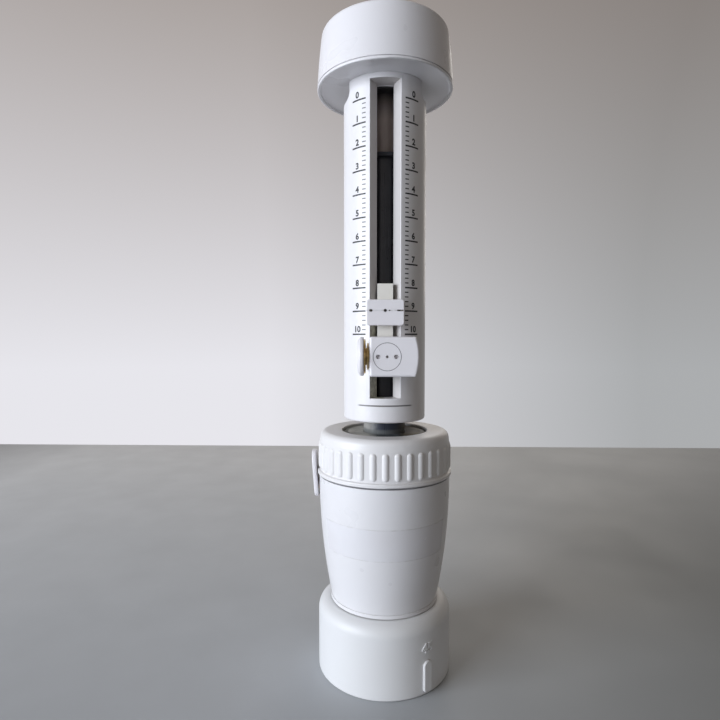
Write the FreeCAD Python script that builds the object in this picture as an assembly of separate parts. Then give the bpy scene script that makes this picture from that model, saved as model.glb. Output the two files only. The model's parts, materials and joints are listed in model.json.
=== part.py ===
import FreeCAD, Part
import math
import os

# Bottle-top dispenser of 10 ml, standing on its bottle collar.
# Frame: origin at the centre of the collar's bottom face, +Z up, the scale slot faces -Y and +X is to the
# right. Every size is in millimetres.

# Clearances
SLIP = 0.3
FIT = 0.05
RUN = 0.08
LOOSE = 0.25
EDGE = 0.4
SMALL_EDGE = 0.2
NEAR = 0.05
CUT_PAST = 5.0

# Dosing: the stroke of one millilitre follows from the barrel's bore
BORE_R = 5.94
STROKE_PER_ML = 1000.0 / (math.pi * BORE_R ** 2)
SET_ML = 9.0
CAPACITY_ML = 10.0

# Bottle collar with its GL 45 bottle thread
COLLAR_R = 27.5
COLLAR_H = 28.7
COLLAR_SHOULDER = 5.0
COLLAR_LEAD_IN = 0.8
THREAD_R = 22.5
POCKET_R = 23.2
TOP_WALL = 6.0
GRIP_ANGLE = 36.0
GRIP_WIDTH = 4.0
GRIP_LOW = 1.5
GRIP_TOP = 13.5
GRIP_PROUD = 0.9
GRIP_EASE = 0.5
GRIP_ROOT = 2.5

# Valve block: one straight turned body that carries the whole head
BLOCK_R = 19.8
BLOCK_FLANGE_R = 22.7
BLOCK_FLANGE_H = 3.2
GASKET_H = 2.6
GASKET_WIDTH = 5.0
GASKET_GAP = 0.15
CHAMBER_R = 2.5
RETURN_R = 1.6
RETURN_X = -12.0

# Head shell
SHELL_FOOT_H = 1.4
SHELL_FOOT_PROUD = 0.3
SHELL_BOTTOM_R = 22.1
SHELL_BELLY = 0.7
SHELL_MIDDLE_H = 22.2
SHELL_TOP_R = 27.1
SHELL_H = 49.9
SHELL_WALL = 2.2
SHELL_DECK = 1.8

# Locking ring
RING_GAP = 0.7
RING_H = 17.7
RING_FLANGE_PROUD = 0.7
RING_FLANGE_STEP = 0.9
RING_FLANGE_H = 1.5
RING_FLANGE_SLOPE = 0.3
RING_TAPER = 0.5
RING_TOP_ROUND = 2.6
RING_TAPER_H = 4.0
RING_TOP_WALL = 3.8
RING_OPENING_R = 17.7
RIB_COUNT = 36
RIB_R = 1.7
RIB_PROUD = 0.6
RIB_LOW = 1.9
RIB_TOP = 4.4
RIB_END_R = 1.69

# Barrel, its guard and the seat that the locking ring holds down
BARREL_WALL = 1.3
BARREL_LENGTH = 122.0
BARREL_SEAT_DEPTH = 6.4
BARREL_GASKET_H = 1.6
BARREL_GASKET_LIP = 1.0
GUARD_WALL = 1.15
GUARD_FLANGE_R = 19.3
GUARD_FLANGE_H = 3.5
GUARD_TOP_WALL = 4.0
GUARD_STOP_H = 1.8
GUARD_KEY_PROUD = 0.7
SEAT_RING_R = 17.3
SEAT_RING_H = 4.0
SEAT_RING_ROUND = 1.0
WASHER_H = 0.5
WASHER_ROOM = 1.0
WASHER_GAP = 0.2

# Scale sleeve
SLEEVE_R = 16.8
SLEEVE_GAP = 4.8
SLEEVE_H = 133.9
SLEEVE_WALL = 1.6
INNER_TUBE_R = 11.6
INNER_TUBE_WALL = 1.4
SLEEVE_RIB = 1.6
SLEEVE_RIB_ANGLES = (-90.0, 0.0, 90.0)
SLEEVE_FLOOR = 2.4
SLEEVE_FOOT_ROUND = 1.0
SLOT_HALF = 6.35
SLOT_INNER_HALF = 3.25
SLOT_FLANK_START = 0.6
SLOT_FLANK_END = 0.5
SLOT_LOW = 9.7
SLOT_SPARE = 0.285315
SLOT_TOP = 2.1
SLOT_WALL = 1.5
NOTCH_HALF_WIDTH = 9.15
NOTCH_H = 6.6
NOTCH_ROUND = 3.0
GROOVE_H = 6.5
GROOVE_WIDTH = 0.6
GROOVE_DEPTH = 0.45
GROOVE_HALF_ANGLE = 43.0
BUSH_H = 7.5
BUSH_INSET = 1.0

# Plunger and its seals
ROD_R = 5.2
ROD_THREAD_R = 2.5
PISTON_R = 5.6
PISTON_CROWN = 1.6
PISTON_H = 12.0
PISTON_START = 2.0
SEAL_H = 2.0
SEAL_DEPTH = 0.9
PISTON_SOCKET_R = 2.0
PISTON_SOCKET_DEPTH = 6.0

# Knob: a base plate with a snapped-on cap
KNOB_R = 27.5
KNOB_RIM_H = 1.0
KNOB_RIM_DROP = 0.8
KNOB_SEAM = 0.3
KNOB_SEAM_DEPTH = 0.35
KNOB_RIM_WIDTH = 1.2
KNOB_PLATE_H = 2.4
KNOB_SIDE_STEP = 0.75
KNOB_EDGE_STEP = 1.9
KNOB_EDGE_ROUND = 1.8
KNOB_CAP_H = 20.9
KNOB_CROWN = 1.9
CROWN_HALFWAY = 0.75
KNOB_WALL = 2.2
KNOB_BOSS_R = 7.0
KNOB_BOSS_WALL = 1.6
KNOB_ROOM_ROUND = 2.0
KNOB_PLUG_H = 2.4
NUT_FLATS = 8.0
NUT_H = 4.0

# Volume cursor
CURSOR_WIDTH = 6.1
SHOE_THICK = 0.7
SHOE_WIDTH = 10.0
SHOE_H = 4.2
SHOE_GAP = 0.2
TONGUE_INNER = 12.2
TONGUE_OUTER = 15.0
TONGUE_H = 35.3
PLATE_WIDTH = 14.5
PLATE_H = 9.9
PLATE_THICK = 1.4
PLATE_UNDER_INDEX = 5.7
INDEX_ABOVE_SHOE = 20.5
PLATE_ROUND = 1.0
PLATE_MARGIN = 1.2
INDEX_LINE = 0.45
INDEX_DEPTH = 0.3
FOOT_HOLD = 0.25
BLOCK_LEFT = 6.0
BLOCK_RIGHT = 11.1
BLOCK_DOME = 1.2
CLAMP_H = 14.7
CLAMP_FRONT = 28.5
CLAMP_ROUND = 0.9
DISC_R = 5.1
DISC_H = 2.0
DISC_X = 0.5
DISC_HOLE_R = 0.8
DISC_MARK_R = 0.5
DISC_HOLE_SPREAD = 3.3
DISC_HOLE_DEPTH = 1.2
POST_R = 4.4

# Clamp screw, across the cursor
SCREW_Y = -23.2
SCREW_R = 2.2
SCREW_REACH = 8.2
SHANK_R = 3.25
SHANK_GAP = 1.1
STUD_FLANGE_R = 6.4
STUD_FLANGE_H = 0.6
SCREW_HEAD_R = 7.3
SCREW_HEAD_H = 2.4
SCREW_HEAD_DOME = 1.1
SCREW_HEAD_FLAT_R = 5.84
SCREW_HEAD_ROUND = 3.0
SCREW_HEAD_EDGE = 0.5
SCREW_SOCKET = 1.7
THRUST_R = 5.0
THRUST_H = 0.6
THRUST_GAP = 0.1
INSERT_R = 3.2
INSERT_LENGTH = 3.6

# Inlet valve, in the middle of the block
CARTRIDGE_R = 5.95
SOCKET_R = 3.0
SOCKET_DEPTH = 10.0
NIPPLE_H = 18.0
INLET_PORT_R = 2.0
INLET_SEAT_H = 3.0
INLET_SEAT_HOLE_R = 2.2
INLET_BALL_R = 3.0
INLET_CAGE_R = 3.5
INLET_CAGE_DEPTH = 7.6
INLET_CAGE_H = 16.0

# Outlet valve and delivery jet, at the back
OUTLET_BELOW_TOP = 5.8
OUTLET_START = 8.0
OUTLET_R = 3.7
OUTLET_SEAT_H = 2.4
OUTLET_SEAT_HOLE_R = 1.8
OUTLET_BALL_R = 2.5
SPRING_R = 2.0
SPRING_WIRE = 0.35
SPRING_TURNS = 4
SPRING_PITCH = 1.0
UNION_START = 19.6
UNION_NUT_R = 6.0
UNION_GAP = 0.8
UNION_NUT_LENGTH = 8.6
UNION_FLUTES = 12
UNION_FLUTE_R = 0.7
UNION_FLUTE_MARGIN = 1.2
JET_R = 2.0
JET_BORE_R = 1.2
JET_BEND = 14.0
JET_REACH = 92.0
JET_TIP = 36.5
JET_TIP_H = 3.0
JET_SOCKET = 6.0
SHEATH_R = 4.0
SHEATH_TIP_R = 3.0
SHEATH_LENGTH = 36.0
CAP_R = 3.3
CAP_H = 14.0
CAP_WALL = 1.2
CAP_BEAD = 0.4
CAP_BEAD_H = 1.6
CAP_ROUND = 0.8

# Recirculation valve: a plug turned by the lever at the left
PLUG_R = 3.2
PLUG_END = 6.0
PLUG_SEAL_WIDTH = 1.6
PLUG_SEAL_DEPTH = 0.7
PLUG_SEAL_PLACES = (9.4, 16.6)
PLUG_PORT_R = 1.2
DRIVE_SIZE = 3.4
DRIVE_DEPTH = 1.0
PADDLE_OFFSET = 0.4
PADDLE_BELOW = 4.0
PADDLE_ABOVE = 15.5
PADDLE_WIDTH = 9.0
PADDLE_THICK = 1.7
PADDLE_LEAN = 4.1
PADDLE_ROUND = 0.6
PADDLE_LOW_ROUND = 3.2
PADDLE_TOP_ROUND = 4.2

# Heights and radii that follow. The shell's radius halfway up takes that share of its flare.
POCKET_TOP = COLLAR_H - TOP_WALL
BLOCK_FLANGE_TOP = POCKET_TOP - SLIP
BLOCK_BOTTOM = BLOCK_FLANGE_TOP - BLOCK_FLANGE_H
THREAD_LENGTH = BLOCK_BOTTOM - GASKET_GAP - GASKET_H - FIT
FOOT_BOTTOM = COLLAR_H + SLIP
SHELL_BOTTOM = FOOT_BOTTOM + SHELL_FOOT_H
SHELL_TOP = SHELL_BOTTOM + SHELL_H
SHELL_FOOT_R = SHELL_BOTTOM_R + SHELL_FOOT_PROUD
SHELL_MIDDLE_R = SHELL_BOTTOM_R + SHELL_BELLY * (SHELL_TOP_R - SHELL_BOTTOM_R)
OUTLET_Z = SHELL_TOP - OUTLET_BELOW_TOP
RING_BOTTOM = SHELL_TOP + RING_GAP
RING_TOP = RING_BOTTOM + RING_H
RING_SHOULDER = RING_TOP - RING_TOP_WALL
RING_BORE_R = BLOCK_R + SLIP
RING_FLANGE_R = SHELL_TOP_R + RING_FLANGE_PROUD
RING_ROOT_R = RING_FLANGE_R - RING_FLANGE_STEP
RING_NECK_R = RING_ROOT_R - RING_TAPER
UNION_NUT_START = SHELL_TOP_R + UNION_GAP
GUARD_FLANGE_TOP = RING_SHOULDER - WASHER_ROOM
BLOCK_TOP = GUARD_FLANGE_TOP - GUARD_FLANGE_H
BARREL_R = BORE_R + BARREL_WALL
BARREL_BOTTOM = BLOCK_TOP - BARREL_SEAT_DEPTH
BARREL_TOP = BARREL_BOTTOM + BARREL_LENGTH
BARREL_FLOOR = BARREL_BOTTOM - BARREL_GASKET_H
GUARD_BORE_R = BARREL_R + LOOSE
GUARD_R = GUARD_BORE_R + GUARD_WALL
GUARD_TOP = BARREL_TOP + GUARD_TOP_WALL
STOP_BOTTOM = GUARD_TOP - GUARD_STOP_H
SLEEVE_BOTTOM = RING_TOP + SLEEVE_GAP
SLEEVE_TOP = SLEEVE_BOTTOM + SLEEVE_H
SLEEVE_BORE_R = INNER_TUBE_R - INNER_TUBE_WALL
SHOE_R = SLEEVE_BORE_R - SHOE_GAP
KEY_R = SHOE_R + GUARD_KEY_PROUD
SLOT_BOTTOM = SLEEVE_BOTTOM + SLOT_LOW
SLOT_END = SLEEVE_TOP - SLOT_TOP
KNOB_SIDE_R = KNOB_R - KNOB_SIDE_STEP
KNOB_EDGE_R = KNOB_R - KNOB_EDGE_STEP
KNOB_BOTTOM = SLEEVE_TOP - KNOB_RIM_DROP
KNOB_CAP_BOTTOM = KNOB_BOTTOM + KNOB_RIM_H + KNOB_SEAM
KNOB_EDGE_TOP = KNOB_CAP_BOTTOM + KNOB_CAP_H
PLATE_TOP = SLEEVE_TOP + KNOB_PLATE_H
PISTON_BOTTOM = BARREL_BOTTOM + PISTON_START
PISTON_TOP = PISTON_BOTTOM + PISTON_H

# The cursor stands just above the slot's end at the full capacity, and its other pieces go with its shoe
SHOE_BOTTOM = SLOT_BOTTOM + SLOT_SPARE + (CAPACITY_ML - SET_ML) * STROKE_PER_ML
SHOE_TOP = SHOE_BOTTOM + SHOE_H
INDEX_Z = SHOE_TOP + INDEX_ABOVE_SHOE
CLAMP_BOTTOM = SHOE_BOTTOM
CLAMP_TOP = CLAMP_BOTTOM + CLAMP_H
SCREW_Z = CLAMP_BOTTOM + CLAMP_H / 2
CARTRIDGE_BORE_R = CARTRIDGE_R + FIT
INLET_SEAT_BOTTOM = BLOCK_BOTTOM + NIPPLE_H
INLET_SEAT_TOP = INLET_SEAT_BOTTOM + INLET_SEAT_H
CARTRIDGE_TOP = INLET_SEAT_TOP + INLET_CAGE_H

X_AXIS = FreeCAD.Vector(1, 0, 0)
Y_AXIS = FreeCAD.Vector(0, 1, 0)
Z_AXIS = FreeCAD.Vector(0, 0, 1)
ORIGIN = FreeCAD.Vector(0, 0, 0)


def at(x, y, z):
    return FreeCAD.Vector(x, y, z)


def upright(r, z):
    """A point of a profile that is turned about the Z axis."""
    return at(r, 0, z)


def flat(x, y):
    return at(x, y, 0)


def rounded_wire(corners, place):
    """A closed wire through corners (u, v, radius), each radius a tangent arc; place gives the 3D point."""
    points = [FreeCAD.Vector(u, v, 0) for u, v, _ in corners]
    radii = [radius for _, _, radius in corners]
    starts, ends, middles = [], [], []
    for i, corner in enumerate(points):
        to_last = (points[i - 1] - corner).normalize()
        to_next = (points[(i + 1) % len(points)] - corner).normalize()
        if radii[i] == 0:
            starts.append(corner)
            ends.append(corner)
            middles.append(None)
            continue
        half = to_last.getAngle(to_next) / 2
        bisector = (to_last + to_next).normalize()
        reach = radii[i] / math.tan(half)
        starts.append(corner + to_last * reach)
        ends.append(corner + to_next * reach)
        middles.append(corner + bisector * (radii[i] / math.sin(half) - radii[i]))
    edges = []
    for i, start in enumerate(starts):
        if middles[i] is not None:
            via = place(middles[i].x, middles[i].y)
            arc = Part.Arc(place(start.x, start.y), via, place(ends[i].x, ends[i].y))
            edges.append(arc.toShape())
        following = starts[(i + 1) % len(starts)]
        if ends[i].distanceToPoint(following) > 1e-6:
            line = Part.LineSegment(place(ends[i].x, ends[i].y), place(following.x, following.y))
            edges.append(line.toShape())
    return Part.Wire(edges)


def turned(corners):
    """A solid of revolution about Z from profile corners (radius, height, rounding)."""
    return Part.Face(rounded_wire(corners, upright)).revolve(ORIGIN, Z_AXIS, 360)


def prism(corners, place, along):
    return Part.Face(rounded_wire(corners, place)).extrude(along)


def tube(outer, inner, bottom, top):
    ring = Part.makeCylinder(outer, top - bottom, at(0, 0, bottom))
    return ring.cut(Part.makeCylinder(inner, top - bottom + 2, at(0, 0, bottom - 1)))


def eased_tube(outer, inner, bottom, top, ease):
    """A ring with all four edges rounded."""
    return turned([(inner, bottom, ease), (outer, bottom, ease), (outer, top, ease), (inner, top, ease)])


def pin(start, end, radius):
    return Part.makeCylinder(radius, start.distanceToPoint(end), start, end - start)


def without(shape, tools):
    """The shape with each tool cut from it in turn."""
    for tool in tools:
        shape = shape.cut(tool)
    return shape


def ball(centre, radius):
    return Part.makeSphere(radius, centre)


def around(shape, count, first=0.0):
    """Copies of a shape at equal steps about the Z axis."""
    copies = []
    for i in range(count):
        copy = shape.copy()
        copy.rotate(ORIGIN, Z_AXIS, first + i * 360.0 / count)
        copies.append(copy)
    return copies


# Bottle collar


def bottle_collar():
    shell = turned([
        (THREAD_R, 0, COLLAR_LEAD_IN),
        (COLLAR_R, 0, COLLAR_LEAD_IN),
        (COLLAR_R, COLLAR_H, COLLAR_SHOULDER),
        (BLOCK_R + SLIP, COLLAR_H, 0),
        (BLOCK_R + SLIP, POCKET_TOP, 0),
        (POCKET_R, POCKET_TOP, 0),
        (POCKET_R, THREAD_LENGTH, 0),
        (THREAD_R, THREAD_LENGTH, 0),
    ])
    return shell.fuse(grip_rib())


def grip_rib():
    """The raised rib on the collar's side: rounded above and below, with an eased front edge."""
    half = GRIP_WIDTH / 2
    front = -COLLAR_R - GRIP_PROUD
    rib = prism(
        [(-half, GRIP_LOW, half / 2), (half, GRIP_LOW, half / 2),
         (half, GRIP_TOP, half - FIT), (-half, GRIP_TOP, half - FIT)],
        lambda x, z: at(x, front, z),
        Y_AXIS * GRIP_ROOT,
    )
    front_edges = [edge for edge in rib.Edges if edge.BoundBox.YMax < front + FIT]
    rib = rib.makeFillet(GRIP_EASE, front_edges)
    rib.rotate(ORIGIN, Z_AXIS, GRIP_ANGLE)
    return rib


def collar_gasket():
    return eased_tube(POCKET_R - FIT, POCKET_R - GASKET_WIDTH, THREAD_LENGTH + FIT,
                      THREAD_LENGTH + FIT + GASKET_H, EDGE)


# Head: valve block, shell, barrel and guard


def valve_block():
    block = turned([
        (0, BLOCK_BOTTOM, 0),
        (BLOCK_FLANGE_R, BLOCK_BOTTOM, EDGE),
        (BLOCK_FLANGE_R, BLOCK_FLANGE_TOP, EDGE),
        (BLOCK_R, BLOCK_FLANGE_TOP, 0),
        (BLOCK_R, BLOCK_TOP, EDGE),
        (0, BLOCK_TOP, 0),
    ])
    cuts = [
        pin(at(0, 0, BLOCK_BOTTOM - 1), at(0, 0, CARTRIDGE_TOP), CARTRIDGE_BORE_R),
        pin(at(0, 0, CARTRIDGE_TOP), at(0, 0, BARREL_FLOOR), CHAMBER_R),
        pin(at(0, 0, BARREL_FLOOR), at(0, 0, BLOCK_TOP + 1), GUARD_BORE_R),
        pin(at(0, 0, OUTLET_Z), at(0, OUTLET_START, OUTLET_Z), INLET_PORT_R),
        pin(at(0, OUTLET_START, OUTLET_Z), at(0, BLOCK_R + 1, OUTLET_Z), OUTLET_R),
        pin(at(-BLOCK_R - 1, 0, OUTLET_Z), at(-PLUG_END + SLIP, 0, OUTLET_Z), PLUG_R + SLIP),
        pin(at(-PLUG_END, 0, OUTLET_Z), at(0, 0, OUTLET_Z), PLUG_PORT_R),
        pin(at(RETURN_X, 0, BLOCK_BOTTOM - 1), at(RETURN_X, 0, OUTLET_Z), RETURN_R),
    ]
    return without(block, cuts)


def shell_radius(z, inset):
    """The radius of the bowed side at a height, set inwards by a wall."""
    side = Part.Arc(
        upright(SHELL_BOTTOM_R, SHELL_BOTTOM),
        upright(SHELL_MIDDLE_R, SHELL_BOTTOM + SHELL_MIDDLE_H),
        upright(SHELL_TOP_R, SHELL_TOP),
    ).toShape().Curve
    return side.Center.x + math.sqrt((side.Radius - inset) ** 2 - (z - side.Center.z) ** 2)


def shell_side(bottom, top, inset):
    heights = (bottom, (bottom + top) / 2, top)
    return Part.Arc(*[upright(shell_radius(z, inset), z) for z in heights]).toShape()


def head_shell():
    """A bowed cup with a foot and a deck, both bored for the valve block."""
    bore = BLOCK_R + FIT
    floor = SHELL_BOTTOM + SHELL_WALL
    deck = SHELL_TOP - SHELL_DECK
    outer = Part.makePolygon([
        upright(bore, floor), upright(bore, FOOT_BOTTOM), upright(SHELL_FOOT_R, FOOT_BOTTOM),
        upright(SHELL_FOOT_R, SHELL_BOTTOM), upright(SHELL_BOTTOM_R, SHELL_BOTTOM),
    ])
    top = Part.makePolygon([
        upright(SHELL_TOP_R, SHELL_TOP), upright(bore, SHELL_TOP), upright(bore, deck),
        upright(shell_radius(deck, SHELL_WALL), deck),
    ])
    bottom = Part.makeLine(upright(shell_radius(floor, SHELL_WALL), floor), upright(bore, floor))
    wire = Part.Wire(outer.Edges + [shell_side(SHELL_BOTTOM, SHELL_TOP, 0)] + top.Edges
                     + [shell_side(floor, deck, SHELL_WALL), bottom])
    shell = Part.Face(wire).revolve(ORIGIN, Z_AXIS, 360)
    return without(shell, [
        pin(at(0, BLOCK_R - 2, OUTLET_Z), at(0, SHELL_TOP_R + CUT_PAST, OUTLET_Z), OUTLET_R + FIT),
        pin(at(-SHELL_TOP_R - CUT_PAST, 0, OUTLET_Z), at(-BLOCK_R + 2, 0, OUTLET_Z), PLUG_R + SLIP),
    ])


def barrel_gasket():
    return tube(GUARD_BORE_R - FIT, BORE_R - BARREL_GASKET_LIP, BARREL_FLOOR, BARREL_BOTTOM)


def glass_barrel():
    return eased_tube(BARREL_R, BORE_R, BARREL_BOTTOM, BARREL_TOP, EDGE)


def barrel_guard():
    """The guard tube: a clamped flange below and, keyed in the slot, the stop that ends the stroke."""
    guard = turned([
        (GUARD_BORE_R, BLOCK_TOP, 0),
        (GUARD_FLANGE_R, BLOCK_TOP, EDGE),
        (GUARD_FLANGE_R, GUARD_FLANGE_TOP, EDGE),
        (GUARD_R, GUARD_FLANGE_TOP, 0),
        (GUARD_R, STOP_BOTTOM, 0),
        (SHOE_R, STOP_BOTTOM, 0),
        (SHOE_R, GUARD_TOP, EDGE),
        (ROD_R + SLIP, GUARD_TOP, EDGE),
        (ROD_R + SLIP, BARREL_TOP, 0),
        (GUARD_BORE_R, BARREL_TOP, 0),
    ])
    width = CURSOR_WIDTH - SLIP
    key = Part.makeBox(width, KEY_R - GUARD_R, GUARD_STOP_H - EDGE, at(-width / 2, -KEY_R, STOP_BOTTOM))
    return guard.fuse(key)


def seat_ring():
    return turned([
        (GUARD_R + FIT, GUARD_FLANGE_TOP, 0),
        (SEAT_RING_R, GUARD_FLANGE_TOP, 0),
        (SEAT_RING_R, GUARD_FLANGE_TOP + SEAT_RING_H, SEAT_RING_ROUND),
        (GUARD_R + FIT, GUARD_FLANGE_TOP + SEAT_RING_H, EDGE),
    ])


# Inlet valve


def inlet_nipple():
    body = pin(at(0, 0, BLOCK_BOTTOM), at(0, 0, INLET_SEAT_BOTTOM), CARTRIDGE_R)
    socket = pin(at(0, 0, BLOCK_BOTTOM - 1), at(0, 0, BLOCK_BOTTOM + SOCKET_DEPTH), SOCKET_R)
    port = pin(at(0, 0, BLOCK_BOTTOM), at(0, 0, INLET_SEAT_BOTTOM + 1), INLET_PORT_R)
    return without(body, [socket, port])


def inlet_seat():
    return tube(CARTRIDGE_R, INLET_SEAT_HOLE_R, INLET_SEAT_BOTTOM, INLET_SEAT_TOP)


def inlet_cage():
    body = pin(at(0, 0, INLET_SEAT_TOP), at(0, 0, CARTRIDGE_TOP), CARTRIDGE_R)
    room = pin(at(0, 0, INLET_SEAT_TOP - 1), at(0, 0, INLET_SEAT_TOP + INLET_CAGE_DEPTH), INLET_CAGE_R)
    return without(body, [room, pin(at(0, 0, INLET_SEAT_TOP), at(0, 0, CARTRIDGE_TOP + 1), INLET_PORT_R)])


def seated_height(ball_r, hole_r):
    """How far a ball's centre stands off the hole that it closes."""
    return math.sqrt(ball_r ** 2 - hole_r ** 2) + RUN


def inlet_ball():
    return ball(at(0, 0, INLET_SEAT_TOP + seated_height(INLET_BALL_R, INLET_SEAT_HOLE_R)), INLET_BALL_R)


# Outlet valve and delivery jet


def outlet_seat():
    body = pin(at(0, OUTLET_START, OUTLET_Z), at(0, OUTLET_START + OUTLET_SEAT_H, OUTLET_Z), OUTLET_R - FIT)
    return body.cut(pin(at(0, 0, OUTLET_Z), at(0, OUTLET_START + CUT_PAST, OUTLET_Z), OUTLET_SEAT_HOLE_R))


def outlet_ball_y():
    return OUTLET_START + OUTLET_SEAT_H + seated_height(OUTLET_BALL_R, OUTLET_SEAT_HOLE_R)


def outlet_ball():
    return ball(at(0, outlet_ball_y(), OUTLET_Z), OUTLET_BALL_R)


def outlet_spring():
    """A small coil spring between the ball and the union."""
    helix = Part.makeHelix(SPRING_PITCH, SPRING_PITCH * SPRING_TURNS, SPRING_R)
    wire_end = Part.Wire(Part.makeCircle(SPRING_WIRE, at(SPRING_R, 0, 0), Y_AXIS))
    spring = Part.Wire(helix).makePipeShell([wire_end], True, True)
    spring.rotate(ORIGIN, X_AXIS, -90)
    spring.translate(at(0, UNION_START - SPRING_WIRE - SPRING_PITCH * SPRING_TURNS, OUTLET_Z))
    return spring


def outlet_union():
    stem = pin(at(0, UNION_START, OUTLET_Z), at(0, UNION_NUT_START, OUTLET_Z), OUTLET_R - FIT)
    nut_end = UNION_NUT_START + UNION_NUT_LENGTH
    nut = pin(at(0, UNION_NUT_START, OUTLET_Z), at(0, nut_end, OUTLET_Z), UNION_NUT_R)
    nut = nut.makeFillet(EDGE, nut.Edges)
    flutes = []
    for i in range(UNION_FLUTES):
        angle = 2 * math.pi * i / UNION_FLUTES
        x = UNION_NUT_R * math.sin(angle)
        z = OUTLET_Z + UNION_NUT_R * math.cos(angle)
        flute_start = at(x, UNION_NUT_START + UNION_FLUTE_MARGIN, z)
        flutes.append(pin(flute_start, at(x, nut_end - UNION_FLUTE_MARGIN, z), UNION_FLUTE_R))
    port = pin(at(0, UNION_START - 1, OUTLET_Z), at(0, nut_end + 1, OUTLET_Z), JET_R + FIT)
    return without(stem.fuse(nut), flutes + [port])


def bent_rod(radius, start_y, tip_z):
    """A rod that leaves along +Y, bends down through a quarter turn and ends at tip_z."""
    bend_y = JET_REACH - JET_BEND
    centre = at(0, bend_y, OUTLET_Z - JET_BEND)
    disc = Part.Face(Part.Wire(Part.makeCircle(radius, at(0, bend_y, OUTLET_Z), Y_AXIS)))
    bend = disc.revolve(centre, X_AXIS, -90)
    level = pin(at(0, start_y, OUTLET_Z), at(0, bend_y, OUTLET_Z), radius)
    fall = pin(at(0, JET_REACH, OUTLET_Z - JET_BEND), at(0, JET_REACH, tip_z), radius)
    return level.fuse([bend, fall])


def delivery_jet():
    start = UNION_NUT_START - JET_SOCKET
    tip = Part.makeCone(JET_R, JET_BORE_R + LOOSE, JET_TIP_H, at(0, JET_REACH, JET_TIP), -Z_AXIS)
    outside = bent_rod(JET_R, start, JET_TIP).fuse(tip)
    return outside.cut(bent_rod(JET_BORE_R, start - 1, JET_TIP - JET_TIP_H - 1))


def jet_sheath():
    start = UNION_NUT_START + UNION_NUT_LENGTH
    body = Part.makeCone(SHEATH_R, SHEATH_TIP_R, SHEATH_LENGTH, at(0, start, OUTLET_Z), Y_AXIS)
    bore = pin(at(0, start - 1, OUTLET_Z), at(0, start + SHEATH_LENGTH + 1, OUTLET_Z), JET_R + FIT)
    return body.cut(bore)


def cap_bottom():
    return JET_TIP - JET_TIP_H - SLIP - CAP_WALL


def tip_cap():
    bottom = cap_bottom()
    top = bottom + CAP_H + CAP_BEAD_H
    inner = JET_R + SLIP
    body = turned([
        (0, bottom, 0),
        (CAP_R, bottom, CAP_ROUND),
        (CAP_R, bottom + CAP_H, 0),
        (CAP_R + CAP_BEAD, bottom + CAP_H, SMALL_EDGE),
        (CAP_R + CAP_BEAD, top, SMALL_EDGE),
        (inner, top, SMALL_EDGE),
        (inner, bottom + CAP_WALL, 0),
        (0, bottom + CAP_WALL, 0),
    ])
    body.translate(Y_AXIS * JET_REACH)
    return body


# Recirculation valve


def valve_plug():
    """The turned plug, its seal grooves, its cross port and the square that drives it."""
    body = pin(at(-SHELL_TOP_R - PADDLE_OFFSET, 0, OUTLET_Z), at(-PLUG_END, 0, OUTLET_Z), PLUG_R)
    grooves = []
    for place in PLUG_SEAL_PLACES:
        near = at(-place - PLUG_SEAL_WIDTH / 2, 0, OUTLET_Z)
        far = at(-place + PLUG_SEAL_WIDTH / 2, 0, OUTLET_Z)
        grooves.append(pin(near, far, PLUG_R + 1).cut(pin(near, far, PLUG_R - PLUG_SEAL_DEPTH)))
    port = pin(at(RETURN_X, 0, OUTLET_Z), at(0, 0, OUTLET_Z), PLUG_PORT_R)
    drop = pin(at(RETURN_X, 0, OUTLET_Z), at(RETURN_X, 0, OUTLET_Z - PLUG_R - 1), PLUG_PORT_R)
    drive_x = -SHELL_TOP_R - PADDLE_OFFSET - DRIVE_DEPTH
    drive_corner = at(drive_x, -DRIVE_SIZE / 2, OUTLET_Z - DRIVE_SIZE / 2)
    drive = Part.makeBox(DRIVE_DEPTH, DRIVE_SIZE, DRIVE_SIZE, drive_corner)
    return without(body, grooves + [port, drop]).fuse(drive)


def plug_seals():
    rings = []
    for place in PLUG_SEAL_PLACES:
        near = at(-place - PLUG_SEAL_WIDTH / 2 + FIT, 0, OUTLET_Z)
        far = at(-place + PLUG_SEAL_WIDTH / 2 - FIT, 0, OUTLET_Z)
        inside = pin(near, far, PLUG_R - PLUG_SEAL_DEPTH + FIT)
        rings.append(pin(near, far, PLUG_R + SLIP - RUN).cut(inside))
    return Part.Compound(rings)


def lever_paddle():
    """A rounded leaf that leans outwards towards its top."""
    half = PADDLE_WIDTH / 2
    inner_face = -SHELL_TOP_R - PADDLE_OFFSET
    low = OUTLET_Z - PADDLE_BELOW
    high = OUTLET_Z + PADDLE_ABOVE
    leaf = prism(
        [(-half, low, PADDLE_LOW_ROUND), (half, low, PADDLE_LOW_ROUND),
         (half, high, PADDLE_TOP_ROUND), (-half, high, PADDLE_TOP_ROUND)],
        lambda y, z: at(inner_face - PADDLE_THICK, y, z),
        X_AXIS * PADDLE_THICK,
    )
    leaf = leaf.makeFillet(PADDLE_ROUND, leaf.Edges)
    leaf.rotate(at(inner_face, 0, OUTLET_Z), Y_AXIS, -PADDLE_LEAN)
    room = DRIVE_SIZE / 2 + FIT
    drive = Part.makeBox(DRIVE_DEPTH + 1 + FIT, 2 * room, 2 * room,
                         at(inner_face - DRIVE_DEPTH - FIT, -room, OUTLET_Z - room))
    seat = pin(at(inner_face, 0, OUTLET_Z), at(inner_face + 2, 0, OUTLET_Z), PLUG_R + FIT)
    return without(leaf, [drive, seat])


# Locking ring


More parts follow.
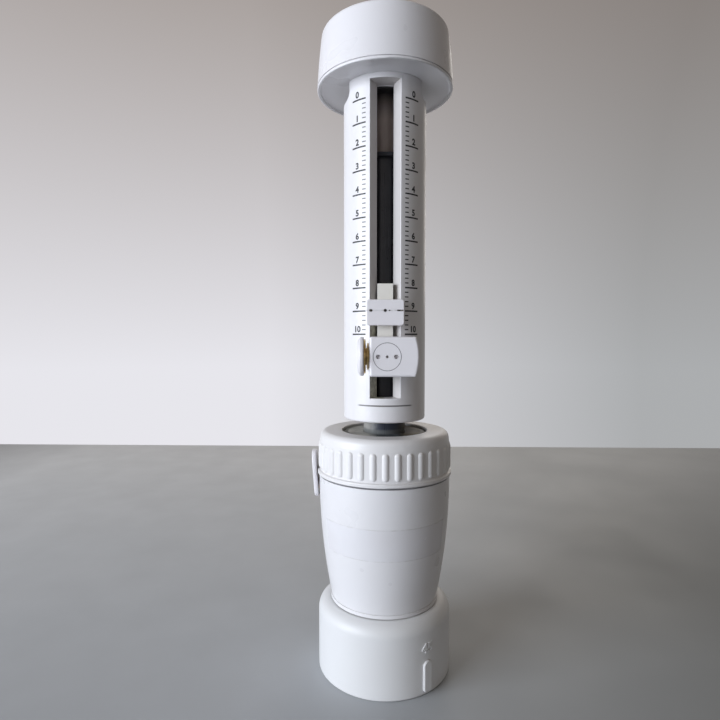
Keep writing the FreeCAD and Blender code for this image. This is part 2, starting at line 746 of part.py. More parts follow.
def locking_ring():
    ring = turned([
        (RING_BORE_R, RING_BOTTOM, EDGE),
        (RING_FLANGE_R, RING_BOTTOM, EDGE),
        (RING_FLANGE_R, RING_BOTTOM + RING_FLANGE_H, EDGE),
        (RING_ROOT_R, RING_BOTTOM + RING_FLANGE_H + RING_FLANGE_SLOPE, 0),
        (RING_ROOT_R, RING_TOP - RING_TAPER_H, 0),
        (RING_NECK_R, RING_TOP, RING_TOP_ROUND),
        (RING_OPENING_R, RING_TOP, EDGE),
        (RING_OPENING_R, RING_SHOULDER, 0),
        (RING_BORE_R, RING_SHOULDER, 0),
    ])
    low = RING_BOTTOM + RIB_LOW
    high = RING_TOP - RIB_TOP
    rib = turned([(0, low, 0), (RIB_R, low, RIB_END_R), (RIB_R, high, RIB_END_R), (0, high, 0)])
    rib.translate(Y_AXIS * (RIB_R - RING_ROOT_R - RIB_PROUD))
    return ring.fuse(around(rib, RIB_COUNT))


def slip_washer():
    bottom = GUARD_FLANGE_TOP + WASHER_GAP
    return tube(RING_BORE_R - SLIP, SEAT_RING_R + SLIP, bottom, bottom + WASHER_H)


# Plunger: sleeve, knob, rod and piston


def slot_corners(extra):
    """Half of the slot's section, widened all round by extra: a neck, then flanks that open outwards."""
    neck = INNER_TUBE_R - SLOT_FLANK_START
    mouth = SLEEVE_R - SLOT_FLANK_END
    right = [(SLOT_INNER_HALF + extra, 0), (SLOT_INNER_HALF + extra, -neck), (SLOT_HALF + extra, -mouth),
             (SLOT_HALF + extra, -SLEEVE_R - 1)]
    left = [(-x, y) for x, y in reversed(right)]
    return [(x, y, 0) for x, y in right + left]


def scale_sleeve():
    """Two tubes joined by the slot's walls and three ribs, open at the top and closed by a floor below."""
    sleeve = turned([
        (SLEEVE_BORE_R, SLEEVE_BOTTOM, EDGE),
        (SLEEVE_R, SLEEVE_BOTTOM, SLEEVE_FOOT_ROUND),
        (SLEEVE_R, SLEEVE_TOP, 0),
        (SLEEVE_BORE_R, SLEEVE_TOP, 0),
    ])
    room = tube(SLEEVE_R - SLEEVE_WALL, INNER_TUBE_R, SLEEVE_BOTTOM + SLEEVE_FLOOR, SLEEVE_TOP + 1)
    kept = [prism(slot_corners(SLOT_WALL), flat, Z_AXIS * (SLEEVE_TOP + 1))]
    for angle in SLEEVE_RIB_ANGLES:
        rib = Part.makeBox(SLEEVE_RIB, SLEEVE_R, SLEEVE_TOP + 1, at(-SLEEVE_RIB / 2, 0, 0))
        rib.rotate(ORIGIN, Z_AXIS, angle)
        kept.append(rib)
    room = without(room, kept)
    slot = prism(slot_corners(0), flat, Z_AXIS * (SLOT_END - SLOT_BOTTOM))
    slot.translate(Z_AXIS * SLOT_BOTTOM)
    return without(sleeve, [room, slot] + side_notches() + [front_groove()])


def side_notches():
    """Openings under the knob, one in each side of the sleeve."""
    bottom = SLEEVE_TOP - NOTCH_H
    notches = []
    for start in (-SLEEVE_R - 1, INNER_TUBE_R + FIT):
        notches.append(prism(
            [(-NOTCH_HALF_WIDTH, bottom, NOTCH_ROUND), (NOTCH_HALF_WIDTH, bottom, NOTCH_ROUND),
             (NOTCH_HALF_WIDTH, SLEEVE_TOP + 1, 0), (-NOTCH_HALF_WIDTH, SLEEVE_TOP + 1, 0)],
            lambda y, z: at(start, y, z),
            X_AXIS * (SLEEVE_R + 1 - INNER_TUBE_R - FIT),
        ))
    return notches


def front_groove():
    """A line across the front that fades out at both ends: the floor is a larger circle set back."""
    angle = math.radians(GROOVE_HALF_ANGLE)
    floor_y = SLEEVE_R - GROOVE_DEPTH
    back = (SLEEVE_R ** 2 - floor_y ** 2) / (2 * (floor_y - SLEEVE_R * math.cos(angle)))
    bottom = SLEEVE_BOTTOM + GROOVE_H
    around_it = Part.makeCylinder(SLEEVE_R + 1, GROOVE_WIDTH, at(0, 0, bottom))
    return around_it.cut(Part.makeCylinder(floor_y + back, GROOVE_WIDTH + 2, at(0, back, bottom - 1)))


def sleeve_bush():
    bottom = SLEEVE_BOTTOM + BUSH_INSET
    return tube(SLEEVE_BORE_R - FIT, GUARD_R + LOOSE, bottom, bottom + BUSH_H)


def knob_base():
    """The plate under the knob: a drooping rim, a spigot for the cap and a plug in the sleeve's bore."""
    inside = KNOB_R - KNOB_WALL - FIT
    return turned([
        (ROD_THREAD_R + FIT, SLEEVE_TOP - KNOB_PLUG_H, 0),
        (SLEEVE_BORE_R - FIT, SLEEVE_TOP - KNOB_PLUG_H, EDGE),
        (SLEEVE_BORE_R - FIT, SLEEVE_TOP, 0),
        (KNOB_R - KNOB_RIM_WIDTH - SMALL_EDGE, SLEEVE_TOP, EDGE),
        (KNOB_R - KNOB_RIM_WIDTH, KNOB_BOTTOM, SMALL_EDGE),
        (KNOB_R, KNOB_BOTTOM, EDGE),
        (KNOB_R, KNOB_BOTTOM + KNOB_RIM_H, SMALL_EDGE),
        (KNOB_R - KNOB_SEAM_DEPTH, KNOB_BOTTOM + KNOB_RIM_H, 0),
        (KNOB_R - KNOB_SEAM_DEPTH, KNOB_CAP_BOTTOM, 0),
        (inside, KNOB_CAP_BOTTOM, 0),
        (inside, PLATE_TOP, EDGE),
        (ROD_THREAD_R + FIT, PLATE_TOP, 0),
    ])


def knob_outside():
    """What the cap's outside encloses: a bowed side, a rounded edge and a slight crown."""
    middle = (KNOB_CAP_BOTTOM + KNOB_EDGE_TOP) / 2
    foot = upright(KNOB_R, KNOB_CAP_BOTTOM)
    edge = upright(KNOB_EDGE_R, KNOB_EDGE_TOP)
    side = Part.Arc(foot, upright(KNOB_SIDE_R, middle), edge)
    crown = Part.Arc(
        edge,
        upright(KNOB_EDGE_R / 2, KNOB_EDGE_TOP + KNOB_CROWN * CROWN_HALFWAY),
        upright(0, KNOB_EDGE_TOP + KNOB_CROWN),
    )
    closing = Part.makePolygon([upright(0, KNOB_EDGE_TOP + KNOB_CROWN), upright(0, KNOB_CAP_BOTTOM), foot])
    wire = Part.Wire([side.toShape(), crown.toShape()] + closing.Edges)
    solid = Part.Face(wire).revolve(ORIGIN, Z_AXIS, 360)
    top_edge = [edge for edge in solid.Edges if edge.BoundBox.ZLength < NEAR
                and abs(edge.CenterOfMass.z - KNOB_EDGE_TOP) < NEAR]
    return solid.makeFillet(KNOB_EDGE_ROUND, top_edge)


def knob_cap():
    """A moulded cup with a boss that stands on the base plate."""
    outside = knob_outside()
    room_top = KNOB_EDGE_TOP - KNOB_WALL
    room = turned([
        (0, KNOB_CAP_BOTTOM - 1, 0),
        (KNOB_R - KNOB_WALL, KNOB_CAP_BOTTOM - 1, 0),
        (KNOB_R - KNOB_WALL, PLATE_TOP + EDGE, 0),
        (KNOB_EDGE_R - KNOB_WALL, room_top, KNOB_ROOM_ROUND),
        (0, room_top, 0),
    ])
    boss = tube(KNOB_BOSS_R, KNOB_BOSS_R - KNOB_BOSS_WALL, PLATE_TOP, room_top + 1)
    return outside.cut(room).fuse(boss)


def rod_nut():
    corner = NUT_FLATS / math.sqrt(3)
    hexagon = [(corner * math.cos(math.radians(60 * i)), corner * math.sin(math.radians(60 * i)), 0)
               for i in range(6)]
    nut = prism(hexagon, flat, Z_AXIS * NUT_H)
    nut.translate(Z_AXIS * PLATE_TOP)
    return nut.cut(pin(at(0, 0, PLATE_TOP - 1), at(0, 0, PLATE_TOP + NUT_H + 1), ROD_THREAD_R + FIT))


def plunger_rod():
    shoulder = SLEEVE_TOP - KNOB_PLUG_H
    return turned([
        (0, PISTON_TOP - PISTON_SOCKET_DEPTH + FIT, 0),
        (PISTON_SOCKET_R - FIT, PISTON_TOP - PISTON_SOCKET_DEPTH + FIT, SMALL_EDGE),
        (PISTON_SOCKET_R - FIT, PISTON_TOP, 0),
        (ROD_R, PISTON_TOP, SMALL_EDGE),
        (ROD_R, shoulder, SMALL_EDGE),
        (ROD_THREAD_R, shoulder, 0),
        (ROD_THREAD_R, PLATE_TOP + NUT_H + 1, EDGE),
        (0, PLATE_TOP + NUT_H + 1, 0),
    ])


def seal_bottoms():
    return [PISTON_BOTTOM + PISTON_CROWN, PISTON_BOTTOM + PISTON_CROWN + 2 * SEAL_H]


def piston_head():
    body = turned([
        (0, PISTON_BOTTOM, 0),
        (PISTON_R, PISTON_BOTTOM, EDGE),
        (PISTON_R, PISTON_TOP, EDGE),
        (PISTON_SOCKET_R, PISTON_TOP, 0),
        (PISTON_SOCKET_R, PISTON_TOP - PISTON_SOCKET_DEPTH, 0),
        (0, PISTON_TOP - PISTON_SOCKET_DEPTH, 0),
    ])
    return without(body, [tube(PISTON_R + 1, PISTON_R - SEAL_DEPTH, z, z + SEAL_H) for z in seal_bottoms()])


def piston_seals():
    inner = PISTON_R - SEAL_DEPTH + FIT
    return Part.Compound([eased_tube(BORE_R - RUN, inner, z + FIT, z + SEAL_H - FIT, SMALL_EDGE)
                          for z in seal_bottoms()])


# Volume cursor


def screw_pin(start, end, radius):
    """A round pin along the clamp screw's axis, from x = start to x = end."""
    return pin(at(start, SCREW_Y, SCREW_Z), at(end, SCREW_Y, SCREW_Z), radius)


def cursor_slider():
    """A shoe inside the sleeve, a neck in its slot, a tongue up it and a post into the clamp block."""
    half = CURSOR_WIDTH / 2
    shoe = tube(SHOE_R, SHOE_R - SHOE_THICK, SHOE_BOTTOM, SHOE_TOP)
    front_half = Part.makeBox(SHOE_WIDTH, SLEEVE_R, SHOE_H, at(-SHOE_WIDTH / 2, -SLEEVE_R, SHOE_BOTTOM))
    shoe = shoe.common(front_half)
    neck_corner = at(-half, -TONGUE_INNER, SHOE_BOTTOM)
    neck = Part.makeBox(CURSOR_WIDTH, TONGUE_INNER - SHOE_R + SHOE_THICK, SHOE_H, neck_corner)
    tongue_corner = at(-half, -TONGUE_OUTER, SHOE_BOTTOM)
    tongue = Part.makeBox(CURSOR_WIDTH, TONGUE_OUTER - TONGUE_INNER, TONGUE_H, tongue_corner)
    plate_back = SLEEVE_R + SLIP + FOOT_HOLD
    plate_bottom = INDEX_Z - PLATE_UNDER_INDEX
    standoff = Part.makeBox(CURSOR_WIDTH, plate_back - TONGUE_OUTER, PLATE_H - 2 * PLATE_MARGIN,
                            at(-half, -plate_back, plate_bottom + PLATE_MARGIN))
    post_end = CLAMP_FRONT - DISC_H - FOOT_HOLD - SLIP
    post = pin(at(DISC_X, -TONGUE_OUTER + EDGE, SCREW_Z), at(DISC_X, -post_end, SCREW_Z), POST_R)
    cross_hole = screw_pin(-POST_R - 2, POST_R + 2, SCREW_R + FOOT_HOLD + RUN)
    return shoe.fuse([neck, tongue, standoff, post]).cut(cross_hole)


def pointer_plate():
    """A thin plate with the engraved index line."""
    half = PLATE_WIDTH / 2
    bottom = INDEX_Z - PLATE_UNDER_INDEX
    back = -SLEEVE_R - SLIP - FOOT_HOLD
    plate = prism(
        [(-half, bottom, PLATE_ROUND), (half, bottom, PLATE_ROUND),
         (half, bottom + PLATE_H, PLATE_ROUND), (-half, bottom + PLATE_H, PLATE_ROUND)],
        lambda x, z: at(x, back - PLATE_THICK, z),
        Y_AXIS * PLATE_THICK,
    )
    front_edges = [edge for edge in plate.Edges if edge.BoundBox.YMax < back - PLATE_THICK + NEAR]
    plate = plate.makeFillet(EDGE, front_edges)
    line = Part.makeBox(PLATE_WIDTH + 2, INDEX_DEPTH, INDEX_LINE,
                        at(-half - 1, back - PLATE_THICK, INDEX_Z - INDEX_LINE / 2))
    return plate.cut(line)


def clamp_outline():
    """The clamp block seen from the front: square at the left and domed at the right."""
    y = -CLAMP_FRONT
    low_left = at(-BLOCK_LEFT, y, CLAMP_BOTTOM)
    low_right = at(BLOCK_RIGHT, y, CLAMP_BOTTOM)
    top_right = at(BLOCK_RIGHT, y, CLAMP_TOP)
    top_left = at(-BLOCK_LEFT, y, CLAMP_TOP)
    dome = Part.Arc(low_right, at(BLOCK_RIGHT + BLOCK_DOME, y, SCREW_Z), top_right).toShape()
    sides = [Part.makeLine(low_left, low_right), dome, Part.makeLine(top_right, top_left),
             Part.makeLine(top_left, low_left)]
    return Part.Wire(sides)


def clamp_block():
    block = Part.Face(clamp_outline()).extrude(Y_AXIS * (CLAMP_FRONT - SLEEVE_R / 2))
    front = -CLAMP_FRONT
    eased = [edge for edge in block.Edges if edge.BoundBox.YMin < front + NEAR]
    block = block.makeFillet(CLAMP_ROUND, eased)
    disc_floor = front + DISC_H
    cuts = [
        Part.makeCylinder(SLEEVE_R + SLIP, CLAMP_H + 2, at(0, 0, CLAMP_BOTTOM - 1)),
        pin(at(DISC_X, front - 1, SCREW_Z), at(DISC_X, disc_floor, SCREW_Z), DISC_R + FIT),
        pin(at(DISC_X, disc_floor - 1, SCREW_Z), at(DISC_X, 0, SCREW_Z), POST_R + SLIP),
        screw_pin(-BLOCK_LEFT - 1, SCREW_REACH + SLIP, SCREW_R + SLIP),
        screw_pin(SCREW_REACH + SLIP - INSERT_LENGTH, SCREW_REACH + SLIP, INSERT_R + FIT),
    ]
    return without(block, cuts)


def thread_insert():
    start = SCREW_REACH + SLIP - INSERT_LENGTH
    end = SCREW_REACH + SLIP
    body = screw_pin(start, end, INSERT_R).cut(screw_pin(start, end, SCREW_R + RUN))
    chamber = pin(at(DISC_X, -CLAMP_FRONT, SCREW_Z), at(DISC_X, 0, SCREW_Z), POST_R + SLIP)
    return body.cut(chamber)


def clamp_disc():
    """The flush spanner plug over the post, with two pin holes and a centre mark."""
    front = -CLAMP_FRONT
    body = pin(at(DISC_X, front, SCREW_Z), at(DISC_X, front + DISC_H, SCREW_Z), DISC_R)
    holes = []
    places = ((-DISC_HOLE_SPREAD, DISC_HOLE_R), (0, DISC_MARK_R), (DISC_HOLE_SPREAD, DISC_HOLE_R))
    for offset, radius in places:
        x = DISC_X + offset
        holes.append(pin(at(x, front - 1, SCREW_Z), at(x, front + DISC_HOLE_DEPTH, SCREW_Z), radius))
    return without(body, holes)


# Clamp screw


def head_inner_x():
    return -BLOCK_LEFT - SLIP - THRUST_H - THRUST_GAP - SHANK_GAP


def clamp_screw_stud():
    """The brass screw: a thick shank in the head, a flange against it and a thread through the post."""
    shoulder = -BLOCK_LEFT - SLIP - THRUST_H - THRUST_GAP
    flange_start = head_inner_x() + FIT
    flange = screw_pin(flange_start, flange_start + STUD_FLANGE_H, STUD_FLANGE_R)
    shank = screw_pin(head_inner_x() - SCREW_SOCKET, shoulder, SHANK_R)
    thread = screw_pin(shoulder, SCREW_REACH, SCREW_R)
    return shank.fuse([flange, thread])


def clamp_screw_head():
    """A round thumb head with a domed outer face."""
    inner = head_inner_x()
    outer = inner - SCREW_HEAD_H
    profile = rounded_wire(
        [(0, outer, 0), (SCREW_HEAD_FLAT_R, outer, SCREW_HEAD_ROUND),
         (SCREW_HEAD_R, outer + SCREW_HEAD_DOME, SCREW_HEAD_EDGE), (SCREW_HEAD_R, inner, SCREW_HEAD_EDGE),
         (0, inner, 0)],
        lambda r, x: at(x, SCREW_Y, SCREW_Z + r),
    )
    head = Part.Face(profile).revolve(at(0, SCREW_Y, SCREW_Z), X_AXIS, 360)
    return head.cut(screw_pin(inner - SCREW_SOCKET - FIT, inner + 1, SHANK_R + FIT))


def thrust_washer():
    start = at(-BLOCK_LEFT - SLIP - THRUST_H, SCREW_Y, SCREW_Z)
    end = at(-BLOCK_LEFT - SLIP, SCREW_Y, SCREW_Z)
    return pin(start, end, THRUST_R).cut(pin(start, end, SCREW_R + LOOSE))


NODES = {
    "bottle_collar": bottle_collar,
    "collar_gasket": collar_gasket,
    "valve_block": valve_block,
    "head_shell": head_shell,
    "barrel_gasket": barrel_gasket,
    "glass_barrel": glass_barrel,
    "barrel_guard": barrel_guard,
    "seat_ring": seat_ring,
    "inlet_nipple": inlet_nipple,
    "inlet_seat": inlet_seat,
    "inlet_cage": inlet_cage,
    "inlet_ball": inlet_ball,
    "outlet_seat": outlet_seat,
    "outlet_ball": outlet_ball,
    "outlet_spring": outlet_spring,
    "outlet_union": outlet_union,
    "delivery_jet": delivery_jet,
    "jet_sheath": jet_sheath,
    "tip_cap": tip_cap,
    "valve_plug": valve_plug,
    "plug_seals": plug_seals,
    "lever_paddle": lever_paddle,
    "locking_ring": locking_ring,
    "slip_washer": slip_washer,
    "scale_sleeve": scale_sleeve,
    "sleeve_bush": sleeve_bush,
    "knob_base": knob_base,
    "knob_cap": knob_cap,
    "rod_nut": rod_nut,
    "plunger_rod": plunger_rod,
    "piston_head": piston_head,
    "piston_seals": piston_seals,
    "cursor_slider": cursor_slider,
    "pointer_plate": pointer_plate,
    "clamp_block": clamp_block,
    "thread_insert": thread_insert,
    "clamp_disc": clamp_disc,
    "clamp_screw_stud": clamp_screw_stud,
    "clamp_screw_head": clamp_screw_head,
    "thrust_washer": thrust_washer,
}

os.makedirs("parts", exist_ok=True)
for name, build in NODES.items():
    shape = build()
    shape.exportStep("parts/" + name + ".step")
    box = shape.BoundBox
    print(name, len(shape.Solids), shape.isValid(), round(shape.Volume, 1),
          [round(v, 2) for v in (box.XMin, box.XMax, box.YMin, box.YMax, box.ZMin, box.ZMax)])
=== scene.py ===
"""Bottle-top dispenser: finishes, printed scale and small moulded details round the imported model."""
import json
import math

import bmesh
import bpy
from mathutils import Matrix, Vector
from mathutils.bvhtree import BVHTree

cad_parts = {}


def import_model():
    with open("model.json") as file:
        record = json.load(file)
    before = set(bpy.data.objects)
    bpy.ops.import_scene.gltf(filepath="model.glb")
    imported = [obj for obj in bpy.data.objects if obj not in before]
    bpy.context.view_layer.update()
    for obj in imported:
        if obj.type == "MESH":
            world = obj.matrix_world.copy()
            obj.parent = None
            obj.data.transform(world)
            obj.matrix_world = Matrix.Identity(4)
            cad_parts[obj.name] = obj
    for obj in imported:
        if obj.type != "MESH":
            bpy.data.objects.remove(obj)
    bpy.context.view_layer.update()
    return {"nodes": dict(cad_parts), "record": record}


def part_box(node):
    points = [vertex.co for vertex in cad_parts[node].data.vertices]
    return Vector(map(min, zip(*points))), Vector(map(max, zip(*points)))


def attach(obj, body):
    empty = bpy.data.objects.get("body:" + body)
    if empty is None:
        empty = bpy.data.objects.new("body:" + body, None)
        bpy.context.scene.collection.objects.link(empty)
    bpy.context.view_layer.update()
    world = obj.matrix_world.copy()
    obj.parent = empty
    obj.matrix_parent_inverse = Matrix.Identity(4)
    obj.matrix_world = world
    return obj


MM = 0.001

# The scale print, in millimetres and degrees round the sleeve from its front
SLEEVE_R = 16.8
SCALE_ML = 10
STEPS_PER_ML = 5
ZERO_Z = 228.4
ML_HEIGHT = 9.021
TICK_START = 27.0
LONG_TICK_END = 49.4
SHORT_TICK_END = 32.4
LONG_TICK_WIDTH = 0.58
SHORT_TICK_WIDTH = 0.42
DIGIT_SIZE = 3.3
DIGIT_ANGLE = 40.5
DIGIT_RISE = 0.9
DIGIT_BOLD = 0.12
INK_PROUD = 0.03
INK_DEEP = 0.02
GLYPH_RESOLUTION = 4

# The cursor's index and the seam round its disc, in millimetres; a dab is its start, end and half height
INDEX_Z = 147.21
INDEX_FILL_WIDTH = 0.42
INDEX_FILL_SINK = 0.03
INDEX_FILL_THICK = 0.2
INDEX_FILL_INSET = 0.15
INDEX_DOTS = ((-6.2, -4.9, 0.5), (-0.65, 0.55, 0.6), (1.3, 1.9, 0.24), (4.4, 6.9, 0.3))
INDEX_DOT_THICK = 0.03
SEAM_HALF = 0.11
SEAM_PROUD = 0.015
SEAM_THICK = 0.03

# The raised neck size and the label film, in millimetres and degrees
SIZE_MARK = "45"
SIZE_MARK_SIZE = 5.2
SIZE_MARK_ANGLE = 36.0
SIZE_MARK_Z = 16.6
SIZE_MARK_PROUD = 0.4
SIZE_MARK_BOLD = 0.1
LABEL_LOW = 52.7
LABEL_HIGH = 65.0
LABEL_ROWS = 6
LABEL_HALF_ANGLE = 60.0
LABEL_THICK = 0.05
LABEL_EDGE_WIDTH = 0.3
LABEL_EDGE_PROUD = 0.03
LABEL_SHARP = 40.0
RAY_START_R = 60.0

# The black pad under the knob's plug, partly a dark bush and partly painted shade at the top of the slot,
# and the collar's thread, in millimetres and degrees
SHADE_PAD_R = 10.0
SHADE_PAD_HOLE_R = 5.25
SHADE_PAD_H = 0.5
SHADE_PAD_GAP = 0.02
THREAD_TURNS = 3.0
THREAD_PITCH = 4.0
THREAD_LOW = 3.2
THREAD_BORE_R = 22.5
THREAD_DEPTH = 1.1
THREAD_SUNK = 0.1
THREAD_BASE = 2.4
THREAD_CREST = 0.9
THREAD_RUN_OUT = 20.0
THREAD_LEAST = 0.12
MOULDED_SHARP = 35.0
ARC_STEP = 3.0

# Where the finishes and the painted shade, sheen and reflection change, in millimetres; each pair goes from
# its first value to its second
SLEEVE_SHADE_R = (16.45, 16.3)
SLOT_BLOTCH_Z = (151.0, 145.0)
SLOT_BLOTCH_X = (0.0, -1.0)
GROOVE_LOW = 110.0
GROOVE_HIGH = 110.6
GROOVE_BLUR = 0.1
GROOVE_R = (16.74, 16.66)
GROOVE_SHADE_SHARE = 0.85
# Painted reflection on smoky parts: where the pale greys fade out at the left and the amber comes in at the
# right
REFLECTION_GREY_X = (-3.0, -6.5)
REFLECTION_AMBER_X = (5.0, 8.5)
GUARD_FOOT_Z = (104.6, 103.2)
GUARD_SHEEN_Z = (99.9, 99.2)
GUARD_DULL_Z = (207.5, 208.5)
SEAT_SHEEN_R = (14.9, 15.5)
ROD_SHADE_Z = (224.5, 234.5)

# The share of open air round a point on an open face and in a corner, and the rays for both
OPEN_SHARE = 0.85
CORNER_SHARE = 0.25
CORNER_SAMPLES = 6
BEVEL_SAMPLES = 4

# Moulded plastics: the tint, the aged tint, the roughness, the grain and the dust with painted shade in the
# seams
LIGHT_DUST_AND_SHADE = (0.1, 0.45)
HEAVY_DUST_AND_SHADE = (0.6, 1.0)
MOULDED = {
    "collar_white": ((0.745, 0.755, 0.775), (0.735, 0.735, 0.745), 0.42, 0.9, LIGHT_DUST_AND_SHADE),
    "shell_white": ((0.765, 0.76, 0.79), (0.75, 0.74, 0.755), 0.30, 0.5, LIGHT_DUST_AND_SHADE),
    "ring_white": ((0.775, 0.765, 0.78), (0.77, 0.755, 0.75), 0.36, 0.6, LIGHT_DUST_AND_SHADE),
    "sleeve_white": ((0.775, 0.765, 0.795), (0.76, 0.745, 0.76), 0.34, 0.5, LIGHT_DUST_AND_SHADE),
    "knob_white": ((0.785, 0.775, 0.81), (0.775, 0.76, 0.785), 0.30, 0.5, LIGHT_DUST_AND_SHADE),
    "cursor_white": ((0.80, 0.785, 0.825), (0.79, 0.77, 0.80), 0.30, 0.5, HEAVY_DUST_AND_SHADE),
    "tongue_cream": ((0.79, 0.77, 0.735), (0.77, 0.745, 0.69), 0.34, 0.6, LIGHT_DUST_AND_SHADE),
    "cap_grey": ((0.30, 0.31, 0.33), (0.26, 0.265, 0.275), 0.38, 0.6, LIGHT_DUST_AND_SHADE),
}

# Unfilled plastics: the tint, the aged tint and the roughness
TRANSLUCENT = {
    "block_natural": ((0.72, 0.73, 0.70), (0.68, 0.67, 0.61), 0.32),
    "seal_ptfe": ((0.82, 0.82, 0.81), (0.78, 0.77, 0.74), 0.36),
    "jet_plastic": ((0.76, 0.775, 0.77), (0.71, 0.72, 0.70), 0.22),
}

# Turned metals: bright, stained, the roughness and the stretch of the tool lines
TURNED = {
    "rod_steel": ((0.52, 0.52, 0.53), (0.40, 0.385, 0.36), 0.26, (0.05, 0.05, 1.0)),
    "brass": ((0.60, 0.43, 0.19), (0.27, 0.17, 0.08), 0.30, (1.0, 0.05, 0.05)),
}

# Colours of single finishes; in a pair the first is spotted with the second
# Grime for the specks on moulded plastics, and the colour of the painted shade in their seams
GRIME_AND_SHADE = (0.36, 0.33, 0.30)
# Painted shade: the darker warm grey of the sleeve's inside
SLEEVE_INSIDE_SHADE = (0.60, 0.575, 0.57)
# Darker olive blotches for the slot's left wall low down
SLOT_BLOTCHES = ((0.60, 0.59, 0.49), (0.40, 0.385, 0.315))
# Painted shade: the dark line in the sleeve's front groove
GROOVE_SHADE = (0.10, 0.095, 0.10)
# Olive amber at the right of smoky parts: partly the smoke's own tint, partly painted reflection
AMBER_SMOKE_AND_REFLECTION = ((0.06, 0.042, 0.016), (0.12, 0.088, 0.042))
GUARD_BLACK = ((0.009, 0.009, 0.012), (0.02, 0.02, 0.024))
# Painted reflection: the pale greys at the left of the guard's foot
GUARD_REFLECTED_GREYS = ((0.24, 0.235, 0.225), (0.38, 0.37, 0.355))
GUARD_DARKS = ((0.012, 0.015, 0.025), (0.035, 0.042, 0.062))
# Painted sheen: the paler grey lowest on the guard's foot
GUARD_LOW_SHEEN = (0.135, 0.142, 0.142)
# Painted reflection: the pale greys at the left of the seat
SEAT_REFLECTED_GREYS = ((0.44, 0.43, 0.41), (0.66, 0.645, 0.615))
SEAT_DARKS = ((0.085, 0.095, 0.105), (0.14, 0.15, 0.155))
# Painted sheen: the paler rim of the seat
SEAT_RIM_SHEEN = (0.15, 0.158, 0.145)
# The rod's taupe: partly its own colour, partly painted shade of the slot's inside
ROD_TAUPE_AND_SHADE = ((0.56, 0.465, 0.425), (0.44, 0.375, 0.35))
# Painted shade: the dark top of the rod under the knob
ROD_TOP_SHADE = (0.075, 0.066, 0.062)
GLASS = (0.97, 0.985, 0.98)
RUBBER = ((0.018, 0.018, 0.019), (0.05, 0.048, 0.045))
CERAMIC = (0.86, 0.85, 0.82)
FRESH_INK = (0.012, 0.012, 0.014)
# Painted highlight: grey ink for the short marks at the left, washed out where that side is lit
LEFT_LIT_INK = (0.16, 0.16, 0.17)
RUBBED_INK = (0.5, 0.49, 0.5)
# Painted shade: the dark line in the gap round the clamp's disc
DISC_SEAM_SHADE = ((0.11, 0.105, 0.12), (0.26, 0.25, 0.27))
INDEX_PAINT = ((0.018, 0.014, 0.012), (0.22, 0.19, 0.16))
WORN_GROOVE = ((0.74, 0.73, 0.76), (0.60, 0.585, 0.59))
LABEL_FILM = ((0.75, 0.745, 0.78), (0.735, 0.725, 0.755))
LABEL_RIM = ((0.725, 0.715, 0.745), (0.61, 0.60, 0.61))

# The table: its left, right, near and far edges in metres, and its colours near and far off, with painted
# light paler far off and at the left, painted shade at the right and a painted shadow under the window
TABLE = (-2.0, 2.0, -2.0, 0.44)
TABLE_FAR_LIGHT_Y = (-0.1, 0.36)
TABLE_RIGHT_SHADE_X = (-0.05, 0.17)
TABLE_WINDOW_SHADOW_X = (-0.36, -0.6)
TABLE_LIT_LEFT = ((0.44, 0.465, 0.50), (0.90, 0.92, 0.95))
TABLE_SHADED_RIGHT = ((0.17, 0.18, 0.18), (0.47, 0.485, 0.50))
TABLE_WINDOW_SHADOW = (0.20, 0.21, 0.22)
TABLE_MOTTLE = (0.30, 0.31, 0.32)

# The wall that the eye sees, with painted light, paler at the left and low down: where it changes, and its
# colours low down and high up
WALL_UP = (-0.05, 0.58)
WALL_ACROSS = (-0.2, 0.45)
WALL_LIT_LEFT = ((0.80, 0.795, 0.84), (0.365, 0.325, 0.305))
WALL_SHADED_RIGHT = ((0.41, 0.42, 0.43), (0.215, 0.185, 0.168))

# The light: a colour and strength all round, and each lamp's place and size in metres, watts and colour
SKY = ((1.0, 0.9, 0.79), 0.185)
LAMP_TARGET = (0.0, 0.0, 0.13)
LAMPS = {
    "window": ((-0.92, -0.62, 0.31), (0.8, 0.62), 15.1, (0.87, 0.925, 1.0)),
    "back_fill": ((0.35, 0.95, 0.5), (0.6, 0.6), 1.4, (1.0, 0.95, 0.88)),
}

# The camera, in millimetres and degrees, and its near limit in metres
CAMERA_PLACE = (-4.3, -217.4, 136.3)
CAMERA_PITCH = -2.3
CAMERA_YAW = 1.55
FOCAL_LENGTH = 26.0
SENSOR_WIDTH = 36.0
NEAR_LIMIT = 0.01


def add_node(material, kind, settings=None, inputs=None):
    """Adds a shader node; each input is a plain value or the output socket of another node."""
    made = material.node_tree.nodes.new(kind)
    for key, value in (settings or {}).items():
        setattr(made, key, value)
    for key, value in (inputs or {}).items():
        if isinstance(value, bpy.types.NodeSocket):
            material.node_tree.links.new(value, made.inputs[key])
        else:
            made.inputs[key].default_value = value
    return made


def shader_of(material):
    """The material's own shader."""
    return material.node_tree.nodes["Principled BSDF"]


def feed(material, key, socket):
    """Leads a socket into one input of the material's shader."""
    material.node_tree.links.new(socket, shader_of(material).inputs[key])


def finish(name, colour, roughness, **constants):
    """A material with plain values on the shader's own sockets."""
    made = bpy.data.materials.new(name)
    made.use_nodes = True
    inputs = shader_of(made).inputs
    inputs["Base Color"].default_value = (*colour, 1.0)
    inputs["Roughness"].default_value = roughness
    for key, value in constants.items():
        inputs[key.replace("_", " ")].default_value = value
    return made


